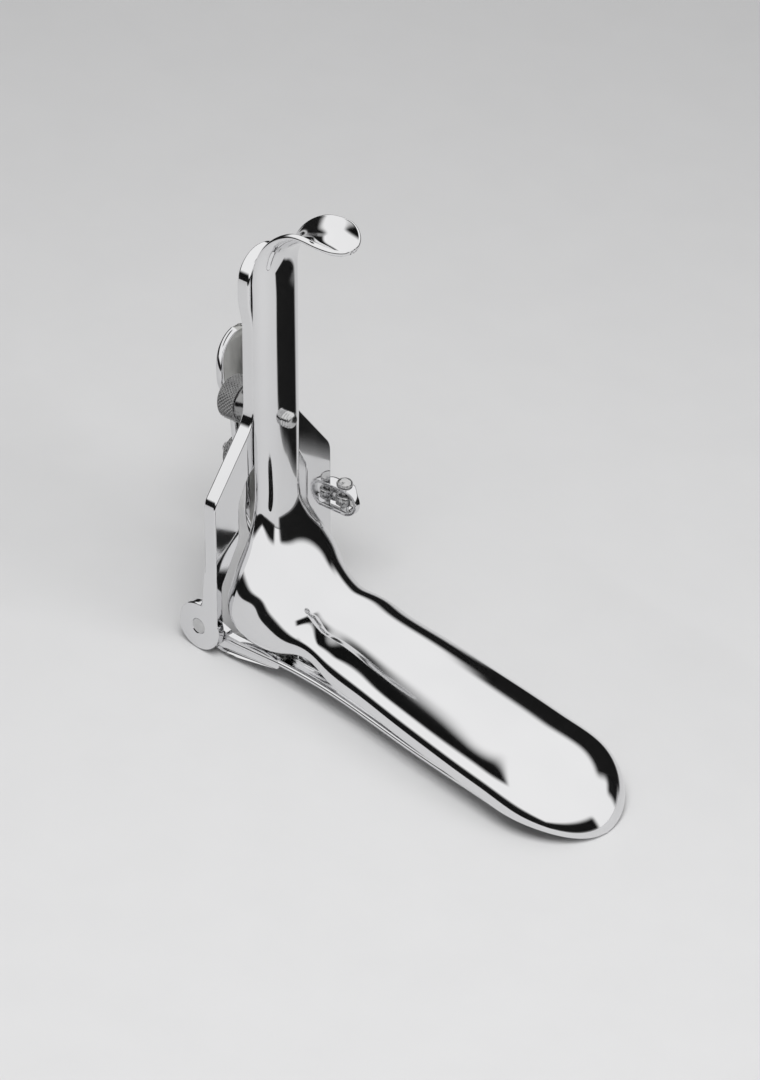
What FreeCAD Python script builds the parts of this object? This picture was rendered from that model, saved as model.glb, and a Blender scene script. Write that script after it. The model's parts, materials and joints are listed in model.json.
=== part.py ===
import FreeCAD, Part
import math
import os

os.makedirs("parts", exist_ok=True)

# A two-bladed speculum lying upside down, as it rests on a table: the handle stands up,
# the blades point along +X, and the adjusting rod is on the +Y side. All sizes in mm.
#
# The parts are drawn in the handle's own frame: Z runs up the straight handle, X = 0 is
# the front face of the frame, and Z = 0 is the height of the hinge. At the end everything
# is tipped back by HANDLE_LEAN so that the blades' underside lies flat on the table.

HANDLE_LEAN = 8.15           # degrees between the handle and a square stance on the table

# Pressed sheet of the two blades
SHEET = 1.4                  # thickness of the fixed blade and its handle
LOWER_SHEET = 1.3            # thickness of the hinged blade
ACROSS = 12                  # steps across a section
SECTION_SAMPLES = 2000       # fine points of the section curve that the steps are measured on
DISH_POWER = 2.4             # shape of the shallow sections, 2 is a parabola

# Handle: a shallow channel, open to the rear
HANDLE_HALF_WIDTH = 6.8
HANDLE_DEPTH = 3.7
HANDLE_SQUARENESS = 2.6      # exponent of the section, 2 is an ellipse
RUN_GAP = 0.2                # between the handle's rims and the frame behind them
CURL_START = 85.0            # height where the handle begins to curl forward
CURL_RADIUS = 12.5
CURL_TURN = 84.0             # degrees
LOBE_LENGTH = 9.0            # from the end of the curl to the lobe's tip
LOBE_HALF_WIDTH = 7.3
LOBE_RIM = 1.3

# Neck and fixed blade
NECK_START = 27.0
NECK_RADIUS = 20.0
BLADE_DROOP = 11.5           # degrees the fixed blade's ridge falls below square
BLADE_HALF_WIDTH = 14.2      # where the blade leaves the neck
TIP_HALF_WIDTH = 17.2
BLADE_ARCH = 8.2             # ridge above the rims, at the neck
TIP_ARCH = 9.0
TIP_START = 81.0             # where the round tip begins
TIP_REACH = 17.2             # length of the round tip
TIP_DROP = 3.2               # extra fall of the rim around the tip
FLARE_HALF_WIDTH = 16.6      # widest part of the flare behind the neck

# Frame (yoke)
FRAME_DEPTH = 3.5            # fore and aft
STEM_HALF_WIDTH = 6.2
STEM_HEAD_HALF_WIDTH = 7.5
STEM_TOP = 90.8
ARM_OUTSIDE = 19.65          # half the frame's full width
SHOULDER_TOP = 49.6
SHOULDER_LOW = 33.0
LUG_THICK = 2.35
LUG_RADIUS = 6.0
HINGE_X = -5.6               # hinge axis, Z = 0

# Slot and clamp
SLOT_HALF_WIDTH = 2.5
SLIDE_TRAVEL = 24.0
CLAMP_Z = 49.1
KEY_HALF_WIDTH = 2.35
KEY_HALF_HEIGHT = 3.5
BLOCK_HALF_WIDTH = 3.9
BLOCK_FLAT_HALF_WIDTH = 2.6  # flat front between its chamfers
BLOCK_REAR = 0.15            # from the frame's front face
BLOCK_HALF_HEIGHT = 5.0
SEAT_GAP = 0.05              # between brazed or seated pieces of one body
SHANK_RADIUS = 1.9
THREAD_GAP = 0.05            # radial, thread in its hole
FIT_GAP = 0.02               # radial, pressed or soldered pin in its hole
KNOB_RADIUS = 5.3
KNOB_LENGTH = 5.0
COLLAR_LENGTH = 3.1
WASHER_THICK = 0.8
WASHER_RADIUS = 4.6
SHANK_PROUD = 2.3            # how far the shank's end stands in front of the handle

# Hinged blade
LOWER_HALF_WIDTH = 15.2
LOWER_REAR_HALF_WIDTH = 16.85
LOWER_TIP_START = 75.0
LOWER_TIP_REACH = 15.0
LOWER_TIP_RIM = -14.9        # rim height where the round tip begins
LOWER_TIP_DEPTH = 2.45
LOWER_TIP_SLOPE = 0.2        # fall of the rim along the tip
EAR_THICK = 1.6
EAR_RADIUS = 5.0
EAR_GAP = 0.2                # between the ear and the frame's lug
HINGE_RADIUS = 2.0
HINGE_GAP = 0.06             # radial, ear on the hinge screw
SCREW_HEAD_RADIUS = 3.2
SCREW_HEAD_THICK = 1.2

# Adjusting rod, its swivel and nut
ROD_Y = 21.5
ROD_Z = 18.4
ROD_RADIUS = 1.5
ROD_END = -34.4
SWIVEL_X = 2.4
EYE_RADIUS = 2.1
EYE_THICK = 2.4
PIN_RADIUS = 1.0
PIN_HEAD_RADIUS = 1.9
PIN_HEAD_THICK = 1.5
STRAP_THICK = 1.0
STRAP_INSIDE = 4.9           # height between the strap's legs
STRAP_REACH = 7.0            # front of the loop
STRAP_WIDTH = 3.7
NUT_RADIUS = 4.6
NUT_LENGTH = 5.0
NUT_FRONT = -26.5

# Thumb lever
LEVER_ROOT_THICK = 2.0       # flat eye beside the blade's ear
LEVER_ROOT_RADIUS = 4.6
LEVER_THICK = 1.8
NOTCH_LOW = 9.6              # open notch for the rod
NOTCH_HIGH = 20.9
NOTCH_INSIDE = 19.5
REST_Y = 20.0                # middle of the thumb rest
REST_TOP = 52.5
REST_HALF_WIDTH = 8.5
REST_DISH = 2.0
REST_NECK_HALF_WIDTH = 4.2

V = FreeCAD.Vector
AXIS_X = V(1, 0, 0)
AXIS_Y = V(0, 1, 0)
AXIS_Z = V(0, 0, 1)
SAME_WAY = 1                 # rule between two edges that run the same way


def blend(table, s):
    """Smooth value of a small hand-made table [(s, value, ...)] at s."""
    for i in range(len(table) - 2, -1, -1):
        if s >= table[i][0] or i == 0:
            break
    t = (s - table[i][0]) / (table[i + 1][0] - table[i][0])
    t = min(1.0, max(0.0, t))
    before = table[max(0, i - 1)]
    after = table[min(len(table) - 1, i + 2)]
    low, high = table[i], table[i + 1]
    values = []
    for k in range(1, len(low)):
        slope_low = (high[k] - before[k]) / (high[0] - before[0])
        slope_high = (after[k] - low[k]) / (after[0] - low[0])
        span = high[0] - low[0]
        values.append((2 * t ** 3 - 3 * t ** 2 + 1) * low[k]
                      + (t ** 3 - 2 * t ** 2 + t) * span * slope_low
                      + (3 * t ** 2 - 2 * t ** 3) * high[k]
                      + (t ** 3 - t ** 2) * span * slope_high)
    return values


def section(half_width, depth, squareness, dish, steps=ACROSS):
    """Section as (side, rise) pairs, evenly spaced along its length.

    It is half a super-ellipse where dish is 0 and a shallow bowl where dish is 1."""
    fine = []
    for i in range(SECTION_SAMPLES + 1):
        a = math.radians(-90 + 180 * i / SECTION_SAMPLES)
        t = abs(math.sin(a)) ** (2 / squareness)
        steep = max(0.0, math.cos(a)) ** (2 / squareness)
        shallow = 1 - t ** DISH_POWER
        fine.append((half_width * math.copysign(t, a), depth * (steep + (shallow - steep) * dish)))
    run = [0.0]
    for p, q in zip(fine, fine[1:]):
        run.append(run[-1] + math.dist(p, q))
    points = []
    j = 0
    for i in range(steps + 1):
        want = run[-1] * i / steps
        while j < len(run) - 2 and run[j + 1] < want:
            j += 1
        t = (want - run[j]) / (run[j + 1] - run[j])
        points.append(tuple(a + (b - a) * t for a, b in zip(fine[j], fine[j + 1])))
    return points


def skin_through(points):
    skin = Part.BSplineSurface()
    skin.interpolate(points)
    return skin


def thick_sheet(grid, thickness):
    """A solid sheet whose front passes through a grid of points and whose back is its offset.

    The front faces the way of (next row) x (next point in the row)."""
    front = skin_through(grid)
    i, j = len(grid) // 2, len(grid[0]) // 2
    outward = (grid[i + 1][j] - grid[i][j]).cross(grid[i][j + 1] - grid[i][j])
    side = 1 if front.normal(*front.parameter(grid[i][j])).dot(outward) > 0 else -1
    back = skin_through([[p - front.normal(*front.parameter(p)) * (side * thickness) for p in row]
                         for row in grid])
    skins = (front, back)
    faces = [skin.toShape() for skin in skins]
    for end in (0, 1):
        ends = [skin.uIso(skin.bounds()[end]).toShape() for skin in skins]
        rims = [skin.vIso(skin.bounds()[2 + end]).toShape() for skin in skins]
        faces += [Part.makeRuledSurface(*ends, SAME_WAY), Part.makeRuledSurface(*rims, SAME_WAY)]
    shell = Part.Shell(faces)
    shell.sewShape()
    solid = Part.Solid(shell)
    if solid.Volume < 0:
        solid.reverse()
    return solid


def rounded_outline(corners, plane):
    """Closed wire through (a, b, radius) corners, with tangent arcs, drawn on a plane."""
    edges = []
    ends = []
    count = len(corners)
    for i in range(count):
        p = V(*corners[i - 1][:2], 0)
        q = V(*corners[i][:2], 0)
        r = V(*corners[(i + 1) % count][:2], 0)
        to_p = (p - q).normalize()
        to_r = (r - q).normalize()
        half = to_p.getAngle(to_r) / 2
        back = corners[i][2] / math.tan(half)
        middle = (to_p + to_r).normalize() * (corners[i][2] * (1 / math.sin(half) - 1))
        ends.append((q + to_p * back, q + middle, q + to_r * back))
    for i in range(count):
        start, middle, end = [plane(p.x, p.y) for p in ends[i]]
        following = plane(ends[(i + 1) % count][0].x, ends[(i + 1) % count][0].y)
        edges.append(Part.Arc(start, middle, end).toShape())
        edges.append(Part.makeLine(end, following))
    return Part.Wire(edges)


def on_yz(x):
    return lambda a, b: V(x, a, b)


def on_xz(y):
    return lambda a, b: V(a, y, b)


def cylinder(radius, start, end):
    axis = end - start
    return Part.makeCylinder(radius, axis.Length, start, axis)


def turned(profile, centre, axis, across):
    """Solid of revolution from (distance along the axis, radius) points."""
    points = [centre + axis * a + across * r for a, r in profile]
    points = [centre + axis * profile[0][0]] + points + [centre + axis * profile[-1][0]]
    face = Part.Face(Part.makePolygon(points + [points[0]]))
    return face.revolve(centre, axis, 360)


# Fixed blade, neck, handle and lobe in one sheet

def sheet_row(ridge, rim, half_width, squareness, dish=0.0):
    """Points across the sheet: rims at (rim x, rim z), ridge at (ridge x, ridge z)."""
    rise = V(ridge[0] - rim[0], 0, ridge[1] - rim[1])
    depth = rise.Length
    rise.normalize()
    base = V(rim[0], 0, rim[1])
    return [base + AXIS_Y * side + rise * up for side, up in section(half_width, depth, squareness, dish)]


def curl_end():
    """Where the curl's ridge runs out into the lobe."""
    a = math.radians(CURL_TURN)
    return (HANDLE_DEPTH + RUN_GAP + CURL_RADIUS * (1 - math.cos(a)), CURL_START + CURL_RADIUS * math.sin(a))


def lobe_rows():
    """From beyond the lobe's end back along the curl to the top of the straight handle."""
    rows = []
    front = HANDLE_DEPTH + RUN_GAP
    x0, z0 = curl_end()
    for run in (LOBE_LENGTH + 1, LOBE_LENGTH - 1.5, LOBE_LENGTH - 4, LOBE_LENGTH - 6.5):
        drop = 0.9 * (run / LOBE_LENGTH) ** 2
        ridge = (x0 + run, z0 + 0.6 - drop)
        rows.append(sheet_row(ridge, (x0 + run, ridge[1] + LOBE_RIM + 0.7), LOBE_HALF_WIDTH, 2.4, 1.0))
    curl = [(0.0, HANDLE_DEPTH, HANDLE_HALF_WIDTH, HANDLE_SQUARENESS, 0.0),
            (0.5, 3.4, HANDLE_HALF_WIDTH, HANDLE_SQUARENESS - 0.2, 0.25),
            (1.0, 3.1, LOBE_HALF_WIDTH - 0.2, 2.5, 0.9)]
    for step in range(7, -1, -1):
        s = step / 8
        a = math.radians(CURL_TURN * s)
        depth, half_width, squareness, dish = blend(curl, s)
        out = (-math.cos(a), math.sin(a))
        ridge = (front + CURL_RADIUS * (1 - math.cos(a)), CURL_START + CURL_RADIUS * math.sin(a))
        rim = (ridge[0] + out[0] * depth, ridge[1] + out[1] * depth)
        rows.append(sheet_row(ridge, rim, half_width, squareness, dish))
    return rows


def handle_rows():
    rows = []
    top, low = CURL_START, NECK_START
    for s in (0.05, 0.2, 0.4, 0.6, 0.8, 0.95):
        z = top + (low - top) * s
        rows.append(sheet_row((HANDLE_DEPTH + RUN_GAP, z), (RUN_GAP, z), HANDLE_HALF_WIDTH,
                              HANDLE_SQUARENESS))
    return rows


def neck_end():
    """Ridge point where the neck's bend runs out into the straight blade."""
    a = math.radians(90 - BLADE_DROOP)
    return (HANDLE_DEPTH + RUN_GAP + NECK_RADIUS * (1 - math.cos(a)), NECK_START - NECK_RADIUS * math.sin(a))


def neck_rows():
    """The bend from handle to blade, with side walls that flare back to the frame."""
    lip = RUN_GAP
    end = neck_end()
    wide = FLARE_HALF_WIDTH
    flare = [(0.0, lip, NECK_START, HANDLE_HALF_WIDTH, HANDLE_SQUARENESS),
             (0.2, lip, 20.5, 0.57 * wide, 3.0),
             (0.4, lip, 12.6, 0.87 * wide, 2.8),
             (0.55, lip + 0.4, 6.0, wide, 2.7),
             (0.68, 3.2, 0.6, 0.975 * wide, 2.6),
             (0.8, 8.0, -1.9, 0.92 * wide, 2.5),
             (0.9, 13.2, -2.0, BLADE_HALF_WIDTH + 0.3, 2.4),
             (1.0, end[0] - 1.6, end[1] - BLADE_ARCH + 0.2, BLADE_HALF_WIDTH, 2.35)]
    rows = []
    front = HANDLE_DEPTH + RUN_GAP
    for step in range(1, 13):
        s = step / 12
        a = math.radians((90 - BLADE_DROOP) * s)
        ridge = (front + NECK_RADIUS * (1 - math.cos(a)), NECK_START - NECK_RADIUS * math.sin(a))
        rim_x, rim_z, half_width, squareness = blend(flare, s)
        rows.append(sheet_row(ridge, (rim_x, rim_z), half_width, squareness))
    return rows


def blade_line(x):
    """Ridge height, arch and half width of the straight blade at x."""
    x0, z0 = neck_end()
    s = (x - x0) / (TIP_START - x0)
    ridge = z0 - (x - x0) * math.tan(math.radians(BLADE_DROOP))
    arch = BLADE_ARCH + (TIP_ARCH - BLADE_ARCH) * s
    half_width = BLADE_HALF_WIDTH + (TIP_HALF_WIDTH - BLADE_HALF_WIDTH) * math.sin(math.pi / 2 * min(s, 1.0))
    return ridge, arch, half_width


def blade_rows():
    rows = []
    x0 = neck_end()[0]
    for s in (0.14, 0.3, 0.46, 0.62, 0.78, 0.9):
        x = x0 + (TIP_START - x0) * s
        ridge, arch, half_width = blade_line(x)
        rows.append(sheet_row((x, ridge), (x, ridge - arch), half_width, 2.3))
    for turn in (3, 14, 26, 38, 50, 61, 70, 78, 84.5, 88.7):
        a = math.radians(turn)
        x = TIP_START + TIP_REACH * math.sin(a)
        ridge, arch, _ = blade_line(TIP_START)
        slope = math.tan(math.radians(BLADE_DROOP))
        rim = ridge - arch - (x - TIP_START) * slope - TIP_DROP * math.sin(a) ** 3
        height = arch * math.cos(a)
        rows.append(sheet_row((x, rim + height), (x, rim), TIP_HALF_WIDTH * math.cos(a),
                              2.3 - 0.25 * math.sin(a)))
    return rows


def round_end(x, reach, half_width, z_low, z_high):
    """What is cut off to leave a sheet with a half-elliptical end from x to x + reach, seen from above."""
    block = Part.makeBox(reach + 5, 2 * half_width + 10, z_high - z_low, V(x, -half_width - 5, z_low))
    if reach > half_width:
        curve = Part.Ellipse(V(x + reach, 0, z_low), V(x, half_width, z_low), V(x, 0, z_low))
    else:
        curve = Part.Ellipse(V(x, half_width, z_low), V(x + reach, 0, z_low), V(x, 0, z_low))
    kept = Part.Face(Part.Wire(curve.toShape())).extrude(AXIS_Z * (z_high - z_low))
    return block.cut(kept)


def posterior_blade():
    """The fixed blade: one pressed sheet from the lobe at the top to the blade's tip."""
    solid = thick_sheet(lobe_rows() + handle_rows() + neck_rows() + blade_rows(), SHEET)
    start = curl_end()[0] + LOBE_LENGTH - LOBE_HALF_WIDTH
    solid = solid.cut(round_end(start, LOBE_HALF_WIDTH, LOBE_HALF_WIDTH + 0.01, CURL_START, CURL_START + 30))
    hole = cylinder(SHANK_RADIUS + 4 * THREAD_GAP, V(-1, 0, CLAMP_Z), V(HANDLE_DEPTH + 3, 0, CLAMP_Z))
    return solid.cut(hole)


def channel_inside(side):
    """How far forward the inside of the handle's channel lies, this far from its middle."""
    share = 1 - (side / (HANDLE_HALF_WIDTH - SHEET)) ** HANDLE_SQUARENESS
    return RUN_GAP + (HANDLE_DEPTH - SHEET) * share ** (1 / HANDLE_SQUARENESS)


def clamp_block():
    """Threaded block brazed inside the handle's channel, with a key that guides the frame."""
    front = channel_inside(BLOCK_FLAT_HALF_WIDTH) - SEAT_GAP
    shoulder = channel_inside(BLOCK_HALF_WIDTH) - SEAT_GAP
    half = [(BLOCK_REAR, BLOCK_HALF_WIDTH), (shoulder, BLOCK_HALF_WIDTH), (front, BLOCK_FLAT_HALF_WIDTH)]
    outline = half + [(x, -y) for x, y in reversed(half)] + half[:1]
    foot = Part.makePolygon([V(x, y, CLAMP_Z - BLOCK_HALF_HEIGHT) for x, y in outline])
    body = Part.Face(foot).extrude(AXIS_Z * 2 * BLOCK_HALF_HEIGHT)
    key = Part.makeBox(FRAME_DEPTH - 0.35 + BLOCK_REAR, 2 * KEY_HALF_WIDTH, 2 * KEY_HALF_HEIGHT,
                       V(-FRAME_DEPTH + 0.35, -KEY_HALF_WIDTH, CLAMP_Z - KEY_HALF_HEIGHT))
    hole = cylinder(SHANK_RADIUS + THREAD_GAP, V(-10, 0, CLAMP_Z), V(10, 0, CLAMP_Z))
    return body.fuse(key).removeSplitter().cut(hole)


# Frame

def frame_outline():
    """Outer outline of stem, shoulders and arms, seen from the front."""
    head = STEM_HEAD_HALF_WIDTH
    half = [(head, STEM_TOP, head - 0.15), (head, 79.0, 8.0), (STEM_HALF_WIDTH, 73.0, 10.0),
            (STEM_HALF_WIDTH, SHOULDER_TOP, 9.0), (ARM_OUTSIDE, SHOULDER_LOW, 5.0), (ARM_OUTSIDE, 4.0, 1.0)]
    inner = ARM_OUTSIDE - LUG_THICK
    ring = [(inner, 4.0, 0.8), (inner, 11.6, 3.0), (14.6, 15.9, 3.0), (11.3, 21.0, 5.0),
            (11.3, 30.5, 6.0), (7.0, 38.2, 6.0)]
    right = half + ring
    left = [(-a, b, r) for a, b, r in reversed(right)]
    return right + left


def lug(side):
    """Plate at the foot of an arm that carries the hinge, side is +1 or -1."""
    start = side * (ARM_OUTSIDE - LUG_THICK)
    across = V(0, side * LUG_THICK, 0)
    eye = cylinder(LUG_RADIUS, V(HINGE_X, start, 0), V(HINGE_X, start, 0) + across)
    arm = rounded_outline([(0, -3.6, 2.5), (0, 15, 0.5), (-FRAME_DEPTH, 15, 0.5),
                           (-FRAME_DEPTH - 1.3, 5, 1.5), (-FRAME_DEPTH - 1.3, -5.0, 1.0)], on_xz(start))
    plate = Part.Face(arm).extrude(across)
    return eye.fuse(plate)


def yoke_frame():
    """Forged frame: slotted stem, sloping shoulders, two arms and their hinge lugs."""
    plate = Part.Face(rounded_outline(frame_outline(), on_yz(-FRAME_DEPTH))).extrude(AXIS_X * FRAME_DEPTH)
    slot_low = CLAMP_Z - KEY_HALF_HEIGHT - 0.3
    slot_high = CLAMP_Z + KEY_HALF_HEIGHT + SLIDE_TRAVEL + 0.3
    slot = rounded_outline([(SLOT_HALF_WIDTH, slot_low - SLOT_HALF_WIDTH, SLOT_HALF_WIDTH - 0.02),
                            (SLOT_HALF_WIDTH, slot_high + SLOT_HALF_WIDTH, SLOT_HALF_WIDTH - 0.02),
                            (-SLOT_HALF_WIDTH, slot_high + SLOT_HALF_WIDTH, SLOT_HALF_WIDTH - 0.02),
                            (-SLOT_HALF_WIDTH, slot_low - SLOT_HALF_WIDTH, SLOT_HALF_WIDTH - 0.02)],
                           on_yz(-FRAME_DEPTH - 1))
    plate = plate.cut(Part.Face(slot).extrude(AXIS_X * (FRAME_DEPTH + 2)))
    rounded = [e for e in plate.Edges
               if abs(e.CenterOfMass.z) > 16 and e.CenterOfMass.x < -FRAME_DEPTH + 0.01
               and abs(e.CenterOfMass.y) > SLOT_HALF_WIDTH + 0.4]
    plate = plate.makeFillet(0.5, rounded)
    frame = plate.fuse([lug(1), lug(-1)]).removeSplitter()
    hole = cylinder(HINGE_RADIUS + FIT_GAP, V(HINGE_X, -30, 0), V(HINGE_X, 30, 0))
    return frame.cut(hole)


def hinge_screw(side, grip):
    """Shouldered screw: head inside, shank through ear and lug, end flush outside."""
    outside = ARM_OUTSIDE - 0.1
    inside = ARM_OUTSIDE - LUG_THICK - EAR_GAP - grip - SEAT_GAP
    profile = [(-outside, HINGE_RADIUS - 0.3), (-outside + 0.3, HINGE_RADIUS), (-inside, HINGE_RADIUS),
               (-inside, SCREW_HEAD_RADIUS), (-inside + SCREW_HEAD_THICK - 0.4, SCREW_HEAD_RADIUS),
               (-inside + SCREW_HEAD_THICK, SCREW_HEAD_RADIUS - 0.6)]
    body = turned(profile, V(HINGE_X, 0, 0), AXIS_Y * -side, AXIS_Z)
    driver = Part.makeBox(2 * SCREW_HEAD_RADIUS + 1, 0.6, 0.7,
                          V(HINGE_X - SCREW_HEAD_RADIUS - 0.5, -0.3, -0.35))
    driver.translate(V(0, side * (inside - SCREW_HEAD_THICK + 0.2), 0))
    return body.cut(driver)


# Clamp screw

def clamp_washer():
    rear = -FRAME_DEPTH - 0.1
    disc = cylinder(WASHER_RADIUS, V(rear - WASHER_THICK, 0, CLAMP_Z), V(rear, 0, CLAMP_Z))
    hole = cylinder(SHANK_RADIUS + 0.1, V(rear - 5, 0, CLAMP_Z), V(rear + 5, 0, CLAMP_Z))
    return disc.cut(hole)


def knob_front():
    return -FRAME_DEPTH - 0.1 - WASHER_THICK - SEAT_GAP - COLLAR_LENGTH


def clamp_knob():
    """Thumbscrew head: knurled band with a tapered collar towards the frame."""
    front = knob_front()
    rear = front - KNOB_LENGTH
    profile = [(front + COLLAR_LENGTH, 3.1), (front + 0.9, 3.9), (front + 0.2, 4.3),
               (front, KNOB_RADIUS - 0.4), (front - 0.45, KNOB_RADIUS), (rear + 0.6, KNOB_RADIUS),
               (rear + 0.1, KNOB_RADIUS - 0.6), (rear, KNOB_RADIUS - 1.2)]
    body = turned(profile, V(0, 0, CLAMP_Z), AXIS_X, AXIS_Z)
    bore = cylinder(SHANK_RADIUS + FIT_GAP, V(rear + 1.2, 0, CLAMP_Z), V(5, 0, CLAMP_Z))
    return body.cut(bore)


def clamp_shank():
    end = HANDLE_DEPTH + RUN_GAP + SHANK_PROUD
    start = knob_front() - KNOB_LENGTH + 1.25
    profile = [(start, SHANK_RADIUS), (end - 0.6, SHANK_RADIUS), (end, SHANK_RADIUS - 0.6)]
    return turned(profile, V(0, 0, CLAMP_Z), AXIS_X, AXIS_Z)


# Hinged blade and thumb lever

def lower_rows():
    """Rows of the hinged blade's outer (under) surface, rear to tip."""
    rear = [(-1.5, -3.0, -6.45, LOWER_REAR_HALF_WIDTH), (3.0, -3.2, -7.2, LOWER_REAR_HALF_WIDTH - 0.1),
            (9.0, -3.6, -8.0, 16.2), (18.0, -4.3, -9.4, 15.4), (32.0, -6.1, -11.3, LOWER_HALF_WIDTH),
            (55.0, -11.0, -14.6, LOWER_HALF_WIDTH + 0.2),
            (LOWER_TIP_START, LOWER_TIP_RIM, LOWER_TIP_RIM - LOWER_TIP_DEPTH, LOWER_HALF_WIDTH)]
    rows = []
    for x in (-1.5, 1, 3.5, 6.5, 10, 14, 19, 25, 32, 41, 50, 59, 67, 73):
        rim, keel, half_width = blend(rear, x)
        rows.append(sheet_row((x, keel), (x, rim), half_width, 2.4, 1.0))
    for run in (4, 8, 11.5, LOWER_TIP_REACH + 1):
        x = LOWER_TIP_START + run
        rim = LOWER_TIP_RIM - LOWER_TIP_SLOPE * run
        depth = LOWER_TIP_DEPTH * (1 - 0.8 * (run / (LOWER_TIP_REACH + 1)) ** 2)
        rows.append(sheet_row((x, rim - depth), (x, rim), LOWER_HALF_WIDTH, 2.4, 1.0))
    return [list(reversed(row)) for row in rows]


def ear(side):
    """Upright ear at the rear corner of the hinged blade."""
    start = side * (ARM_OUTSIDE - LUG_THICK - EAR_GAP - EAR_THICK)
    across = V(0, side * EAR_THICK, 0)
    eye = cylinder(EAR_RADIUS, V(HINGE_X, start, 0), V(HINGE_X, start, 0) + across)
    foot = rounded_outline([(HINGE_X + 1.5, 4.6, 0.5), (-2.2, 1.6, 2.0), (-0.4, -2.8, 3.0), (9.0, -3.3, 0.4),
                            (9.0, -4.3, 0.4), (1.0, -6.2, 1.0), (HINGE_X, -5.0, 0.4)], on_xz(start))
    return eye.fuse(Part.Face(foot).extrude(across))


def anterior_blade():
    """The hinged blade: a shallow trough with an ear at each rear corner."""
    trough = thick_sheet(lower_rows(), LOWER_SHEET)
    trough = trough.cut(round_end(LOWER_TIP_START, LOWER_TIP_REACH, LOWER_HALF_WIDTH + 0.01, -40, 5))
    blade = trough.fuse([ear(1), ear(-1)])
    hole = cylinder(HINGE_RADIUS + HINGE_GAP, V(HINGE_X, -30, 0), V(HINGE_X, 30, 0))
    return blade.cut(hole)


def lever_rows():
    """Rows of the thumb lever's face, from its root on the ear to above the rest."""
    root = lever_root() - 0.15
    over = REST_HALF_WIDTH + 1.0
    # step, x, y, z, twist, half width, dish
    path = [(0, HINGE_X, root, 0.1, 0, 4.2, 0.0), (1, -9.6, root, 0.5, 0, 4.2, 0.0),
            (2, -13.8, root + 0.4, 2.3, 16, 4.3, 0.0), (3, -17.6, 17.0, 5.6, 46, 4.6, 0.0),
            (4, -21.2, 19.3, 9.8, 74, 5.0, 0.0), (5, -24.0, 20.9, 15.8, 88, 5.2, 0.0),
            (6, -26.0, 21.0, 22.2, 90, 5.0, 0.0), (7, -27.6, REST_Y + 0.5, 29.0, 90, 6.5, 0.3),
            (8, -28.7, REST_Y, 36.0, 90, over, 0.5 * REST_DISH),
            (9, -29.4, REST_Y, 43.0, 90, over, REST_DISH), (10, -29.9, REST_Y, 49.0, 90, over, REST_DISH),
            (11, -29.6, REST_Y, REST_TOP + 2, 90, over, REST_DISH)]
    steps = [i / 2 for i in range(23)]
    middles = [V(*blend(path, s)[:3]) for s in steps]
    rows = []
    for i, s in enumerate(steps):
        twist, half_width, dish = blend(path, s)[3:]
        ahead = middles[min(i + 1, len(steps) - 1)] - middles[max(i - 1, 0)]
        ahead.normalize()
        flat = AXIS_Y.cross(ahead)
        flat.normalize()
        upright = AXIS_Y - ahead * AXIS_Y.dot(ahead)
        upright.normalize()
        a = math.radians(twist)
        wide = flat * math.cos(a) + upright * math.sin(a)
        wide.normalize()
        face = ahead.cross(wide)
        rows.append([middles[i] + wide * (half_width * (k / 4 - 1)) - face * (dish * (k / 4 - 1) ** 2)
                     for k in range(9)])
    return rows


def lever_root():
    """Outer face of the lever's flat eye, against the inside of the ear."""
    return ARM_OUTSIDE - LUG_THICK - EAR_GAP - EAR_THICK - SEAT_GAP


def lever_outline():
    """Outline of the rest and its neck seen from behind, wide open below the neck."""
    half = [(REST_NECK_HALF_WIDTH + 18, 20.0, 1.0), (REST_NECK_HALF_WIDTH + 0.6, 26.0, 5.0),
            (REST_NECK_HALF_WIDTH, 33.0, 9.0), (REST_HALF_WIDTH, 42.5, 6.0),
            (REST_HALF_WIDTH, REST_TOP, REST_HALF_WIDTH - 0.3)]
    right = [(REST_Y + a, z, r) for a, z, r in half]
    left = [(REST_Y - a, z, r) for a, z, r in reversed(half)]
    return right + left + [(-5, -15, 1.0), (50, -15, 1.0)]


def thumb_lever():
    """Forged lever: flat root on the ear, a twist, a notch for the rod and a dished rest."""
    strip = thick_sheet(lever_rows(), LEVER_THICK)
    outline = Part.Face(rounded_outline(lever_outline(), on_yz(-50))).extrude(AXIS_X * 60)
    root = V(HINGE_X, lever_root(), 0)
    eye = cylinder(LEVER_ROOT_RADIUS, root - AXIS_Y * LEVER_ROOT_THICK, root)
    lever = strip.common(outline).fuse(eye)
    notch = Part.makeBox(20, 20, NOTCH_HIGH - NOTCH_LOW, V(-34, NOTCH_INSIDE, NOTCH_LOW))
    hole = cylinder(HINGE_RADIUS + HINGE_GAP, V(HINGE_X, 5, 0), V(HINGE_X, 18, 0))
    return lever.cut(notch).cut(hole)


# Adjusting rod

def rod_bracket():
    """Strap bent into a U, brazed edge-on to the far arm; its legs carry the swivel pin."""
    outer = STRAP_INSIDE / 2 + STRAP_THICK
    inner = STRAP_INSIDE / 2
    rear = -FRAME_DEPTH + 0.3
    face = ARM_OUTSIDE + SEAT_GAP
    big = rounded_outline([(rear, ROD_Z - outer, 0.2), (STRAP_REACH, ROD_Z - outer, outer - 0.2),
                           (STRAP_REACH, ROD_Z + outer, outer - 0.2), (rear, ROD_Z + outer, 0.2)],
                          on_xz(face))
    front = STRAP_REACH - STRAP_THICK
    small = rounded_outline([(rear - 5, ROD_Z - inner, 0.2), (front, ROD_Z - inner, inner - 0.2),
                             (front, ROD_Z + inner, inner - 0.2), (rear - 5, ROD_Z + inner, 0.2)],
                            on_xz(face))
    along = AXIS_Y * STRAP_WIDTH
    strap = Part.Face(big).extrude(along).cut(Part.Face(small).extrude(along))
    hole = cylinder(PIN_RADIUS + FIT_GAP, V(SWIVEL_X, ROD_Y, 0), V(SWIVEL_X, ROD_Y, 40))
    return strap.cut(hole)


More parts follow.
